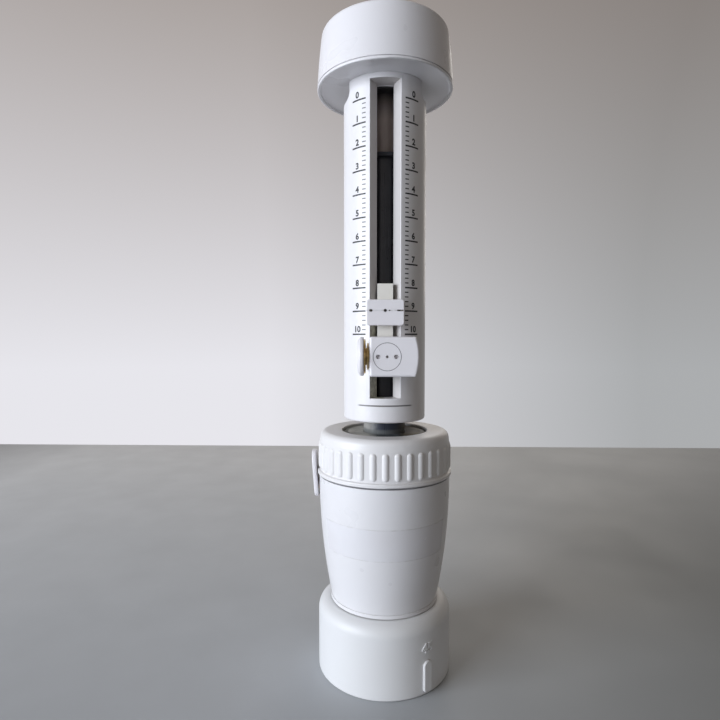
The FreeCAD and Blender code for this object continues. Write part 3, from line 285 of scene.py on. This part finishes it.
def noise(material, scale, detail=3.0, stretch=None):
    """Noise in the object's own metres; scale is in features per metre."""
    place = add_node(material, "ShaderNodeTexCoord").outputs["Object"]
    if stretch:
        stretched = {"Vector": place, "Scale": stretch}
        place = add_node(material, "ShaderNodeMapping", inputs=stretched).outputs["Vector"]
    inputs = {"Vector": place, "Scale": scale, "Detail": detail}
    return add_node(material, "ShaderNodeTexNoise", inputs=inputs).outputs["Fac"]


def mapped(material, value, low, high, to_low=0.0, to_high=1.0):
    """Takes low..high to to_low..to_high and holds it there."""
    inputs = {"Value": value, "From Min": low, "From Max": high, "To Min": to_low, "To Max": to_high}
    return add_node(material, "ShaderNodeMapRange", inputs=inputs).outputs["Result"]


def patches(material, scale, between, to=(0.0, 1.0), detail=3.0, stretch=None):
    """Noise whose values from the first to the second of between are spread over the range to."""
    return mapped(material, noise(material, scale, detail, stretch), *between, *to)


def band(material, place, change, least=0.0, most=1.0):
    """Goes from least to most over the two values of change, which are millimetres along a coordinate."""
    start, end = change
    return mapped(material, place, start * MM, end * MM, least, most)


def mixed(material, share, first, second):
    """The colour between first and second at that share; each is a colour or a socket."""
    made = add_node(material, "ShaderNodeMix", {"data_type": "RGBA"})
    links = material.node_tree.links
    # The node has its colours in the inputs 6 and 7, and their mix in output 2
    factor, colour_a, colour_b = made.inputs[0], made.inputs[6], made.inputs[7]
    for target, value in ((factor, share), (colour_a, first), (colour_b, second)):
        if isinstance(value, bpy.types.NodeSocket):
            links.new(value, target)
        else:
            target.default_value = (*value, 1.0)
    return made.outputs[2]


def maths(material, operation, first, second):
    """One operation of arithmetic on two numbers or sockets."""
    return add_node(material, "ShaderNodeMath", {"operation": operation}, {0: first, 1: second}).outputs[0]


def product(material, first, second):
    """The product of two numbers or sockets."""
    return maths(material, "MULTIPLY", first, second)


def corners(material, reach):
    """1 deep in corners and seams, 0 on open faces, as the mask for painted shade; reach is in millimetres.
    """
    settings = {"samples": CORNER_SAMPLES}
    made = add_node(material, "ShaderNodeAmbientOcclusion", settings, {"Distance": reach * MM})
    return mapped(material, made.outputs["AO"], OPEN_SHARE, CORNER_SHARE)


def roughen(material, heights, depth, strength=1.0, edge=0.0):
    """Bumps the surface by a height socket; edge rounds sharp edges by that radius. Both in millimetres."""
    inputs = {"Height": heights, "Distance": depth * MM, "Strength": strength}
    if edge:
        settings = {"samples": BEVEL_SAMPLES}
        rounded = add_node(material, "ShaderNodeBevel", settings, {"Radius": edge * MM})
        inputs["Normal"] = rounded.outputs["Normal"]
    feed(material, "Normal", add_node(material, "ShaderNodeBump", inputs=inputs).outputs["Normal"])


def moulded(name, tint, aged, roughness, grain, dust):
    """Injection-moulded plastic: slow drift of tint, grime specks, painted shade with dust in the seams,
    rubbed patches and a fine grain.
    """
    made = finish(name, tint, roughness, IOR=1.49)
    drift = patches(made, scale=16.0, between=(0.2, 0.8), detail=1.0)
    specks = patches(made, scale=900.0, between=(0.76, 0.80), to=(0.0, 0.22), detail=2.0)
    colour = mixed(made, specks, mixed(made, drift, tint, aged), GRIME_AND_SHADE)
    # Painted shade: the seams darken towards grime as they close in, in dusty patches
    blotched = patches(made, scale=160.0, between=(0.3, 0.65), to=dust)
    seam_shade_share = product(made, corners(made, reach=0.9), blotched)
    feed(made, "Base Color", mixed(made, seam_shade_share, colour, GRIME_AND_SHADE))
    rubbed = (roughness - 0.06, roughness + 0.08)
    feed(made, "Roughness", patches(made, scale=60.0, between=(0.2, 0.8), to=rubbed, detail=2.0))
    roughen(made, noise(made, scale=2600.0, detail=2.0), depth=0.02, strength=grain, edge=0.15)
    return made


def places(material):
    """The object's own coordinates in metres, and the distance from its upright axis."""
    place = add_node(material, "ShaderNodeTexCoord").outputs["Object"]
    parts = add_node(material, "ShaderNodeSeparateXYZ", inputs={"Vector": place}).outputs
    flat = {"X": parts["X"], "Y": parts["Y"]}
    level = add_node(material, "ShaderNodeCombineXYZ", inputs=flat).outputs["Vector"]
    length = add_node(material, "ShaderNodeVectorMath", {"operation": "LENGTH"}, {0: level})
    return parts["X"], parts["Z"], length.outputs["Value"]


def tint_and_shade_sleeve(sleeve):
    """Paints shade on the sleeve's inside with a darker warm grey, puts darker olive blotches on the slot's
    left wall low down, and paints shade as a dark line in the front groove.
    """
    outside = shader_of(sleeve).inputs["Base Color"].links[0].from_socket
    across, height, radius = places(sleeve)
    # Painted shade: the inside of the sleeve takes a darker warm grey
    inside = band(sleeve, radius, SLEEVE_SHADE_R)
    colour = mixed(sleeve, inside, outside, SLEEVE_INSIDE_SHADE)
    # Darker olive blotches on the slot's left wall, low down
    blotched = mixed(sleeve, patches(sleeve, scale=620.0, between=(0.38, 0.62)), *SLOT_BLOTCHES)
    low_left = product(sleeve, band(sleeve, height, SLOT_BLOTCH_Z), band(sleeve, across, SLOT_BLOTCH_X))
    colour = mixed(sleeve, product(sleeve, inside, low_left), colour, blotched)
    # Painted shade: a dark line in the front groove
    above = band(sleeve, height, (GROOVE_LOW, GROOVE_LOW + GROOVE_BLUR))
    below = band(sleeve, height, (GROOVE_HIGH, GROOVE_HIGH - GROOVE_BLUR))
    sunk = band(sleeve, radius, GROOVE_R)
    groove_shade = product(sleeve, product(sleeve, above, below), product(sleeve, sunk, GROOVE_SHADE_SHARE))
    feed(sleeve, "Base Color", mixed(sleeve, groove_shade, colour, GROOVE_SHADE))


def paint_smoke_and_reflection(material, across, reflected_greys, darks):
    """Smoky colour with painted reflection: the pale greys at the left, the darks in the middle, and olive
    amber at the right, partly the smoke's own tint and partly painted reflection.
    """
    blotches = patches(material, scale=190.0, between=(0.36, 0.64))
    reflected_grey = mixed(material, blotches, *reflected_greys)
    dark = mixed(material, blotches, *darks)
    amber = mixed(material, blotches, *AMBER_SMOKE_AND_REFLECTION)
    left_side = mixed(material, band(material, across, REFLECTION_GREY_X), dark, reflected_grey)
    return mixed(material, band(material, across, REFLECTION_AMBER_X), left_side, amber)


def black_guard():
    """Satin black tube with fine draw lines along it, dull at its top; at its foot a painted reflection in
    smoky greys and amber, with a painted sheen lowest down.
    """
    made = finish("guard_black", GUARD_BLACK[0], roughness=0.32, IOR=1.42)
    across, height, _ = places(made)
    black = mixed(made, patches(made, scale=140.0, between=(0.4, 0.75)), *GUARD_BLACK)
    # Painted reflection at the guard's foot, pale grey at the left to olive amber at the right
    smoke_and_reflection = paint_smoke_and_reflection(made, across, GUARD_REFLECTED_GREYS, GUARD_DARKS)
    # Painted sheen: paler grey lowest on the guard
    smoke_and_reflection = mixed(made, band(made, height, GUARD_SHEEN_Z, most=0.8), smoke_and_reflection, GUARD_LOW_SHEEN)
    feed(made, "Base Color", mixed(made, band(made, height, GUARD_FOOT_Z), black, smoke_and_reflection))
    drawn = patches(made, scale=500.0, between=(0.3, 0.7), to=(0.24, 0.42), stretch=(1.0, 1.0, 0.03))
    feed(made, "Roughness", band(made, height, GUARD_DULL_Z, least=drawn, most=0.85))
    lines = noise(made, scale=1500.0, detail=2.0, stretch=(1.0, 1.0, 0.04))
    roughen(made, lines, depth=0.012, strength=0.6, edge=0.12)
    return made


def smoked_seat():
    """Deep glossy moulding, smoky, with painted reflection across it and a painted sheen on its paler rim.
    """
    made = finish("seat_smoke", SEAT_DARKS[0], roughness=0.2, IOR=1.03)
    across, _, radius = places(made)
    # Painted reflection across the seat, pale grey at the left to olive amber at the right
    smoke_and_reflection = paint_smoke_and_reflection(made, across, SEAT_REFLECTED_GREYS, SEAT_DARKS)
    # Painted sheen: a paler rim round the seat
    feed(made, "Base Color", mixed(made, band(made, radius, SEAT_SHEEN_R, most=0.75), smoke_and_reflection, SEAT_RIM_SHEEN))
    feed(made, "Roughness", patches(made, scale=300.0, between=(0.4, 0.8), to=(0.14, 0.3)))
    roughen(made, noise(made, scale=240.0, detail=2.0), depth=0.06, strength=0.5, edge=0.15)
    return made


def shaded_taupe_rod():
    """Satin taupe plastic with drag lines along its length; the taupe is partly painted shade of the slot's
    inside, and painted shade darkens it under the knob.
    """
    made = finish("rod_taupe", ROD_TAUPE_AND_SHADE[0], roughness=0.42, IOR=1.4)
    # The taupe is partly painted shade: the rod sits deep in the dim slot
    drift = patches(made, scale=70.0, between=(0.35, 0.7), stretch=(1.0, 1.0, 0.4))
    colour = mixed(made, drift, *ROD_TAUPE_AND_SHADE)
    height = places(made)[1]
    # Painted shade: the rod darkens towards the knob, which shades it
    feed(made, "Base Color", mixed(made, band(made, height, ROD_SHADE_Z), colour, ROD_TOP_SHADE))
    along = (1.0, 1.0, 0.05)
    feed(made, "Roughness", patches(made, scale=420.0, between=(0.3, 0.7), to=(0.36, 0.52), stretch=along))
    lines = noise(made, scale=1300.0, detail=2.0, stretch=along)
    roughen(made, lines, depth=0.015, strength=0.6, edge=0.12)
    return made


def glass():
    """Clear colourless glass."""
    return finish("barrel_glass", GLASS, roughness=0.0, IOR=1.47, Transmission_Weight=1.0)


def translucent(name, tint, aged, roughness):
    """Unfilled plastic that lets a little light into it."""
    made = finish(name, tint, roughness, IOR=1.42, Subsurface_Weight=0.25, Subsurface_Scale=2.0 * MM)
    feed(made, "Base Color", mixed(made, patches(made, scale=45.0, between=(0.35, 0.7)), tint, aged))
    rubbed = (roughness - 0.06, roughness + 0.08)
    feed(made, "Roughness", patches(made, scale=220.0, between=(0.35, 0.7), to=rubbed, detail=4.0))
    roughen(made, noise(made, scale=900.0), depth=0.02, strength=0.4, edge=0.12)
    return made


def rubber():
    """Matt black rubber with a grey bloom."""
    made = finish("seal_rubber", RUBBER[0], roughness=0.62)
    feed(made, "Base Color", mixed(made, patches(made, scale=900.0, between=(0.4, 0.75)), *RUBBER))
    roughen(made, noise(made, scale=3000.0), depth=0.02, strength=0.6)
    return made


def ceramic():
    """Polished ceramic, a little uneven in its gloss."""
    made = finish("valve_ceramic", CERAMIC, roughness=0.12, IOR=1.6)
    feed(made, "Roughness", patches(made, scale=400.0, between=(0.3, 0.7), to=(0.08, 0.2)))
    roughen(made, noise(made, scale=1800.0), depth=0.01, strength=0.4, edge=0.08)
    return made


def turned_metal(name, bright, stained, roughness, along):
    """Turned metal: fine tool lines round the axis, with stained patches."""
    made = finish(name, bright, roughness, Metallic=1.0)
    stains = patches(made, scale=260.0, between=(0.45, 0.72), detail=4.0)
    feed(made, "Base Color", mixed(made, stains, bright, stained))
    dulled = (roughness - 0.06, roughness + 0.14)
    feed(made, "Roughness", patches(made, scale=700.0, between=(0.3, 0.7), to=dulled))
    lines = noise(made, scale=350.0, detail=4.0, stretch=along)
    roughen(made, lines, depth=0.015, strength=0.7, edge=0.08)
    return made


def ink(name, black):
    """Pad-printed black, rubbed through to the white in small spots."""
    made = finish(name, black, roughness=0.5)
    rubbed = patches(made, scale=1400.0, between=(0.66, 0.72), to=(0.0, 0.6), detail=4.0)
    feed(made, "Base Color", mixed(made, rubbed, black, RUBBED_INK))
    return made


def disc_seam_shade():
    """Painted shade for the seam round the clamp's disc, darker in spots."""
    made = finish("disc_seam_shade", DISC_SEAM_SHADE[0], roughness=0.7)
    spots = patches(made, scale=420.0, between=(0.35, 0.65), detail=2.0)
    feed(made, "Base Color", mixed(made, spots, *DISC_SEAM_SHADE))
    return made


def table_top():
    """A grey laminate with a faint mottle, with painted light that makes it paler far off and to the left,
    painted shade at the right and a painted shadow under the window.
    """
    made = finish("table_top", TABLE_MOTTLE, roughness=0.5)
    place = add_node(made, "ShaderNodeTexCoord").outputs["Object"]
    parts = add_node(made, "ShaderNodeSeparateXYZ", inputs={"Vector": place}).outputs
    # Painted light: paler far off and at the left; painted shade at the right; a painted shadow under the
    # window
    far = mapped(made, parts["Y"], *TABLE_FAR_LIGHT_Y)
    left = mixed(made, far, *TABLE_LIT_LEFT)
    right = mixed(made, far, *TABLE_SHADED_RIGHT)
    colour = mixed(made, mapped(made, parts["X"], *TABLE_RIGHT_SHADE_X), left, right)
    colour = mixed(made, mapped(made, parts["X"], *TABLE_WINDOW_SHADOW_X), colour, TABLE_WINDOW_SHADOW)
    mottle = patches(made, scale=30.0, between=(0.3, 0.7), to=(0.0, 0.12), detail=4.0)
    feed(made, "Base Color", mixed(made, mottle, colour, TABLE_MOTTLE))
    feed(made, "Roughness", patches(made, scale=14.0, between=(0.3, 0.7), to=(0.46, 0.58)))
    return made


def index_paint():
    """Dark paint, the little that is left in the index groove."""
    made = finish("index_paint", INDEX_PAINT[0], roughness=0.6)
    rubbed = patches(made, scale=900.0, between=(0.5, 0.62), to=(0.0, 0.8))
    feed(made, "Base Color", mixed(made, rubbed, *INDEX_PAINT))
    return made


def worn_groove():
    """The floor of the index groove, dusty where the paint has gone."""
    made = finish("worn_groove", WORN_GROOVE[0], roughness=0.5)
    dust = patches(made, scale=500.0, between=(0.4, 0.62), stretch=(1.0, 0.2, 0.2))
    feed(made, "Base Color", mixed(made, dust, *WORN_GROOVE))
    return made


def label_film():
    """Clear film over the shell: the shell's tint with a wetter gloss and slight creases."""
    made = finish("label_film", LABEL_FILM[0], roughness=0.2, IOR=1.45)
    feed(made, "Base Color", mixed(made, patches(made, scale=70.0, between=(0.35, 0.7)), *LABEL_FILM))
    feed(made, "Roughness", patches(made, scale=160.0, between=(0.35, 0.75), to=(0.15, 0.28), detail=4.0))
    roughen(made, noise(made, scale=220.0), depth=0.03, strength=0.4)
    return made


def label_rim():
    """The cut edge of the film: a grey line in blotches, a little darker than the film."""
    made = finish("label_rim", LABEL_RIM[0], roughness=0.4)
    feed(made, "Base Color", mixed(made, patches(made, scale=350.0, between=(0.35, 0.65)), *LABEL_RIM))
    return made


def finishes():
    """One material for each material slot of the record, and the tongue's own, by name."""
    made = {name: moulded(name, *look) for name, look in MOULDED.items()}
    made.update({name: translucent(name, *look) for name, look in TRANSLUCENT.items()})
    made.update({name: turned_metal(name, *look) for name, look in TURNED.items()})
    made.update({
        "guard_black": black_guard(),
        "seat_smoke": smoked_seat(),
        "rod_taupe": shaded_taupe_rod(),
        "barrel_glass": glass(),
        "seal_rubber": rubber(),
        "valve_ceramic": ceramic(),
    })
    tint_and_shade_sleeve(made["sleeve_white"])
    return made


def dress(frame, materials):
    """Gives each CAD node the finish of its slot."""
    for part in frame["record"]["subparts"]:
        node = frame["nodes"][part["node"]]
        material = materials[part["material_slot"]]
        if part["node"] == "cursor_slider":
            material = materials["tongue_cream"]
        if not node.material_slots:
            node.data.materials.append(material)
        for place in node.material_slots:
            place.material = material


def piece(name, vertices, faces, material, body, sharp=None):
    """A new mesh piece that rides on a body, shaded smooth up to the angle sharp where one is given."""
    mesh = bpy.data.meshes.new(name)
    mesh.from_pydata(vertices, [], faces)
    shape = bmesh.new()
    shape.from_mesh(mesh)
    bmesh.ops.recalc_face_normals(shape, faces=shape.faces)
    shape.to_mesh(mesh)
    shape.free()
    if sharp:
        mesh.shade_smooth()
        mesh.set_sharp_from_angle(angle=math.radians(sharp))
    mesh.materials.append(material)
    made = bpy.data.objects.new(name, mesh)
    bpy.context.scene.collection.objects.link(made)
    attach(made, body)


def add_loft(vertices, faces, loops):
    """Adds quads between loops of points that follow each other, and a cap at both ends."""
    start = len(vertices)
    count = len(loops[0])
    for loop in loops:
        vertices.extend(loop)
    for i in range(len(loops) - 1):
        low = start + i * count
        for j in range(count):
            k = (j + 1) % count
            faces.append((low + j, low + k, low + count + k, low + count + j))
    faces.append(tuple(range(start, start + count)))
    faces.append(tuple(range(len(vertices) - count, len(vertices))))


def add_ring(vertices, faces, loops):
    """Adds quads between loops of points that follow each other and close on themselves."""
    start = len(vertices)
    count = len(loops[0])
    for loop in loops:
        vertices.extend(loop)
    for i in range(len(loops)):
        this = start + i * count
        following = start + (i + 1) % len(loops) * count
        for j in range(count):
            k = (j + 1) % count
            faces.append((this + j, this + k, following + k, following + j))


def round_front(angle, radius, height):
    """The point at that angle in degrees from the front, towards +X, in metres."""
    turn = math.radians(angle)
    return (radius * math.sin(turn) * MM, -radius * math.cos(turn) * MM, height * MM)


def arc_angles(start, end):
    """Angles from start to end in even steps of about ARC_STEP."""
    steps = max(1, math.ceil(abs(end - start) / ARC_STEP))
    return [start + (end - start) * i / steps for i in range(steps + 1)]


def swept(section, angles):
    """The loops that a section of points (radius, height) makes at these angles round the upright axis."""
    return [[round_front(angle, radius, height) for radius, height in section] for angle in angles]


def oblong(inner, outer, low, high):
    """The four corners of a section."""
    return ((inner, low), (outer, low), (outer, high), (inner, high))


def add_tick(vertices, faces, start, end, height, width):
    """A printed line round the sleeve."""
    low, high = height - width / 2, height + width / 2
    section = oblong(SLEEVE_R - INK_DEEP, SLEEVE_R + INK_PROUD, low, high)
    add_loft(vertices, faces, swept(section, arc_angles(start, end)))


def glyph_mesh(text, size, half_depth, bold):
    """The vertices (right, up, out) in millimetres and the faces of a flat text, centred at its foot."""
    curve = bpy.data.curves.new("glyphs", "FONT")
    curve.body = text
    curve.size = size
    curve.extrude = half_depth
    curve.offset = bold
    curve.align_x = "CENTER"
    curve.resolution_u = GLYPH_RESOLUTION
    maker = bpy.data.objects.new("glyphs", curve)
    bpy.context.scene.collection.objects.link(maker)
    bpy.context.view_layer.update()
    mesh = bpy.data.meshes.new_from_object(maker.evaluated_get(bpy.context.evaluated_depsgraph_get()))
    points = [tuple(v.co) for v in mesh.vertices]
    faces = [tuple(face.vertices) for face in mesh.polygons]
    bpy.data.objects.remove(maker)
    bpy.data.curves.remove(curve)
    bpy.data.meshes.remove(mesh)
    return points, faces


def add_digits(vertices, faces, text, angle, height):
    """A printed number, wrapped round the sleeve."""
    half_depth = (INK_PROUD + INK_DEEP) / 2
    points, polygons = glyph_mesh(text, DIGIT_SIZE, half_depth, DIGIT_BOLD)
    start = len(vertices)
    centre_r = SLEEVE_R + (INK_PROUD - INK_DEEP) / 2
    for right, up, out in points:
        turn = angle + math.degrees(right / SLEEVE_R)
        vertices.append(round_front(turn, centre_r + out, height + up))
    faces.extend(tuple(start + i for i in polygon) for polygon in polygons)


def scale_print(fresh, left_lit):
    """Both printed scales, one each side of the slot; the short marks at the left are printed grey, a
    painted highlight where that side is lit.
    """
    vertices, faces = [], []
    left_lit_vertices, left_lit_faces = [], []
    for side in (-1.0, 1.0):
        for step in range(SCALE_ML * STEPS_PER_ML + 1):
            height = ZERO_Z - step * ML_HEIGHT / STEPS_PER_ML
            if step % STEPS_PER_ML == 0:
                number = str(step // STEPS_PER_ML)
                add_tick(vertices, faces, side * TICK_START, side * LONG_TICK_END, height, LONG_TICK_WIDTH)
                add_digits(vertices, faces, number, side * DIGIT_ANGLE, height + DIGIT_RISE)
                continue
            # The short marks at the left take the grey ink as a painted highlight
            target = (left_lit_vertices, left_lit_faces) if side < 0 else (vertices, faces)
            add_tick(*target, side * TICK_START, side * SHORT_TICK_END, height, SHORT_TICK_WIDTH)
    piece("scale_print", vertices, faces, fresh, "plunger")
    piece("scale_print_left_lit", left_lit_vertices, left_lit_faces, left_lit, "plunger")


def disc_seam(material):
    """The painted shade line in the seam round the clamp's disc."""
    low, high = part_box("clamp_disc")
    centre_x, centre_z = (low.x + high.x) / 2, (low.z + high.z) / 2
    around = (high.x - low.x) / 2
    front = low.y - SEAM_PROUD * MM
    back = front + SEAM_THICK * MM
    section = oblong(around - SEAM_HALF * MM, around + SEAM_HALF * MM, front, back)
    loops = []
    for angle in arc_angles(0.0, 360.0)[:-1]:
        across, up = math.cos(math.radians(angle)), math.sin(math.radians(angle))
        loops.append([(centre_x + radius * across, y, centre_z + radius * up) for radius, y in section])
    vertices, faces = [], []
    add_ring(vertices, faces, loops)
    piece("disc_seam", vertices, faces, material, "cursor")


def index_dots(material):
    """What is left of the paint in the index groove: a few rounded dabs."""
    low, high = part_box("pointer_plate")
    middle = (low.x + high.x) / 2
    front = low.y + (INDEX_FILL_SINK - INDEX_DOT_THICK) * MM
    back = low.y + (INDEX_FILL_SINK + INDEX_DOT_THICK) * MM
    vertices, faces = [], []
    for start, end, half in INDEX_DOTS:
        outline = []
        for centre, first in ((end - half, -90.0), (start + half, 90.0)):
            for angle in arc_angles(first, first + 180.0):
                turn = math.radians(angle)
                x = middle + (centre + half * math.cos(turn)) * MM
                outline.append((x, (INDEX_Z + half * math.sin(turn)) * MM))
        add_loft(vertices, faces, [[(x, y, z) for x, z in outline] for y in (front, back)])
    piece("index_dots", vertices, faces, material, "cursor_foot")


def index_fill(material):
    """The dusty floor of the groove in the pointer plate."""
    low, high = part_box("pointer_plate")
    front = low.y + INDEX_FILL_SINK * MM
    back = front + INDEX_FILL_THICK * MM
    half = INDEX_FILL_WIDTH / 2 * MM
    loops = []
    for x in (low.x + INDEX_FILL_INSET * MM, high.x - INDEX_FILL_INSET * MM):
        section = ((front, -half), (back, -half), (back, half), (front, half))
        loops.append([(x, y, INDEX_Z * MM + z) for y, z in section])
    vertices, faces = [], []
    add_loft(vertices, faces, loops)
    piece("index_fill", vertices, faces, material, "cursor_foot")


def skin_of(node):
    """A ray-cast tree of a CAD node's surface."""
    mesh = node.data
    return BVHTree.FromPolygons([v.co for v in mesh.vertices], [p.vertices for p in mesh.polygons])


def radius_at(skin, angle, height):
    """The outer radius in millimetres of a round node at that angle and height."""
    start = Vector(round_front(angle, RAY_START_R, height))
    towards = Vector((-start.x, -start.y, 0.0)).normalized()
    hit = skin.ray_cast(start, towards)[0]
    return math.hypot(hit.x, hit.y) / MM


def size_mark(frame, material):
    """The neck size, raised on the collar's shoulder."""
    skin = skin_of(frame["nodes"]["bottle_collar"])
    points, faces = glyph_mesh(SIZE_MARK, SIZE_MARK_SIZE, SIZE_MARK_PROUD, SIZE_MARK_BOLD)
    around = radius_at(skin, SIZE_MARK_ANGLE, SIZE_MARK_Z)
    vertices = []
    for right, up, out in points:
        angle = SIZE_MARK_ANGLE + math.degrees(right / around)
        height = SIZE_MARK_Z + up
        vertices.append(round_front(angle, radius_at(skin, angle, height) + out, height))
    piece("size_mark", vertices, faces, material, "collar")


def bare_label(frame, material):
    """A clear film strip round the front of the head shell, with nothing printed on it."""
    skin = skin_of(frame["nodes"]["head_shell"])
    heights = [LABEL_LOW + (LABEL_HIGH - LABEL_LOW) * i / LABEL_ROWS for i in range(LABEL_ROWS + 1)]
    profile = [(height, radius_at(skin, 0.0, height)) for height in heights]
    outer = [(radius + LABEL_THICK, height) for height, radius in profile]
    inner = [(radius - LABEL_THICK, height) for height, radius in reversed(profile)]
    vertices, faces = [], []
    add_loft(vertices, faces, swept(outer + inner, arc_angles(-LABEL_HALF_ANGLE, LABEL_HALF_ANGLE)))
    piece("label_film", vertices, faces, material, "head", LABEL_SHARP)


def label_edges(frame, material):
    """The film's cut edges, along its top and bottom."""
    skin = skin_of(frame["nodes"]["head_shell"])
    vertices, faces = [], []
    for height in (LABEL_LOW, LABEL_HIGH):
        around = radius_at(skin, 0.0, height)
        inner = around + LABEL_THICK - LABEL_EDGE_PROUD
        outer = around + LABEL_THICK + LABEL_EDGE_PROUD
        section = oblong(inner, outer, height - LABEL_EDGE_WIDTH / 2, height + LABEL_EDGE_WIDTH / 2)
        add_loft(vertices, faces, swept(section, arc_angles(-LABEL_HALF_ANGLE, LABEL_HALF_ANGLE)))
    piece("label_edges", vertices, faces, material, "head")


def knob_shade_pad(material):
    """A thin black pad under the knob's plug, seen at the top of the slot: partly a dark bush, partly
    painted shade under the knob.
    """
    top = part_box("knob_base")[0].z / MM - SHADE_PAD_GAP
    bottom = top - SHADE_PAD_H
    bevel = SHADE_PAD_H / 4
    section = ((SHADE_PAD_HOLE_R, bottom), (SHADE_PAD_R - bevel, bottom), (SHADE_PAD_R, bottom + bevel),
               (SHADE_PAD_R, top), (SHADE_PAD_HOLE_R, top))
    vertices, faces = [], []
    add_ring(vertices, faces, swept(section, arc_angles(0.0, 360.0)[:-1]))
    piece("knob_shade_pad", vertices, faces, material, "plunger", MOULDED_SHARP)


def neck_thread(material):
    """The moulded screw thread inside the collar."""
    base, crest = THREAD_BASE / 2, THREAD_CREST / 2
    crest_r = THREAD_BORE_R - THREAD_DEPTH
    root_r = THREAD_BORE_R + THREAD_SUNK
    loops = []
    angles = arc_angles(0.0, 360.0 * THREAD_TURNS)
    for angle in angles:
        run_out = min(1.0, angle / THREAD_RUN_OUT, (angles[-1] - angle) / THREAD_RUN_OUT)
        inner = root_r - max(THREAD_LEAST, (root_r - crest_r) * run_out)
        middle = THREAD_LOW + THREAD_PITCH * angle / 360.0
        section = ((root_r, -base), (inner, -crest), (inner, crest), (root_r, base))
        loops.append([round_front(angle, radius, middle + z) for radius, z in section])
    vertices, faces = [], []
    add_loft(vertices, faces, loops)
    piece("neck_thread", vertices, faces, material, "collar", MOULDED_SHARP)


def floor():
    """A pale table top that ends behind the object."""
    mesh = bpy.data.meshes.new("floor")
    left, right, near, far = TABLE
    table_corners = [(left, near, 0.0), (right, near, 0.0), (right, far, 0.0), (left, far, 0.0)]
    mesh.from_pydata(table_corners, [], [(0, 1, 2, 3)])
    made = bpy.data.objects.new("floor", mesh)
    bpy.context.scene.collection.objects.link(made)
    mesh.materials.append(table_top())


def lamp(name, place, size, power, colour):
    """A soft rectangular lamp that shines at the object's middle; place and size are in metres."""
    data = bpy.data.lights.new(name, "AREA")
    data.shape = "RECTANGLE"
    data.size, data.size_y = size
    data.energy = power
    data.color = colour
    made = bpy.data.objects.new(name, data)
    made.location = place
    made.rotation_euler = (Vector(LAMP_TARGET) - Vector(place)).to_track_quat("-Z", "Y").to_euler()
    bpy.context.scene.collection.objects.link(made)


def sky(colour, strength):
    """Plain even light from all round, where the eye, mirrors and glass see a pale wall with painted light:
    bright at the left and low down, darker at the right and high up.
    """
    world = bpy.data.worlds.new("sky")
    world.use_nodes = True
    links = world.node_tree.links
    even = world.node_tree.nodes["Background"]
    even.inputs["Color"].default_value = (*colour, 1.0)
    even.inputs["Strength"].default_value = strength
    rays = add_node(world, "ShaderNodeLightPath").outputs
    towards = add_node(world, "ShaderNodeTexCoord").outputs["Generated"]
    parts = add_node(world, "ShaderNodeSeparateXYZ", inputs={"Vector": towards}).outputs
    up = mapped(world, parts["Z"], *WALL_UP)
    across = mapped(world, parts["X"], *WALL_ACROSS)
    # Painted light on the wall: lit at the left and low down, shaded at the right and high up
    shade = mixed(world, across, mixed(world, up, *WALL_LIT_LEFT), mixed(world, up, *WALL_SHADED_RIGHT))
    wall = add_node(world, "ShaderNodeBackground", inputs={"Color": shade})
    seen = maths(world, "MAXIMUM", rays["Is Camera Ray"], rays["Is Glossy Ray"])
    seen = maths(world, "MAXIMUM", seen, rays["Is Transmission Ray"])
    chosen = add_node(world, "ShaderNodeMixShader", inputs={"Fac": seen})
    links.new(even.outputs["Background"], chosen.inputs[1])
    links.new(wall.outputs["Background"], chosen.inputs[2])
    links.new(chosen.outputs["Shader"], world.node_tree.nodes["World Output"].inputs["Surface"])
    bpy.context.scene.world = world


def light_up():
    """Daylight from a window at the left, with a weak warm fill from behind."""
    sky(*SKY)
    for name, values in LAMPS.items():
        lamp(name, *values)


def camera():
    """The photograph's own point of view."""
    data = bpy.data.cameras.new("camera")
    data.lens = FOCAL_LENGTH
    data.sensor_width = SENSOR_WIDTH
    data.clip_start = NEAR_LIMIT
    made = bpy.data.objects.new("camera", data)
    made.location = [value * MM for value in CAMERA_PLACE]
    made.rotation_euler = (math.radians(90.0 + CAMERA_PITCH), 0.0, math.radians(CAMERA_YAW))
    bpy.context.scene.collection.objects.link(made)
    bpy.context.scene.camera = made


def build():
    """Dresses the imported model, adds the small pieces, and sets the scene."""
    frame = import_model()
    materials = finishes()
    dress(frame, materials)
    scale_print(ink("scale_ink", FRESH_INK), ink("left_lit_ink", LEFT_LIT_INK))
    disc_seam(disc_seam_shade())
    index_fill(worn_groove())
    index_dots(index_paint())
    size_mark(frame, materials["collar_white"])
    bare_label(frame, label_film())
    label_edges(frame, label_rim())
    knob_shade_pad(materials["seal_rubber"])
    neck_thread(materials["collar_white"])
    floor()
    light_up()
    camera()
    bpy.context.scene.view_settings.view_transform = "Standard"


build()
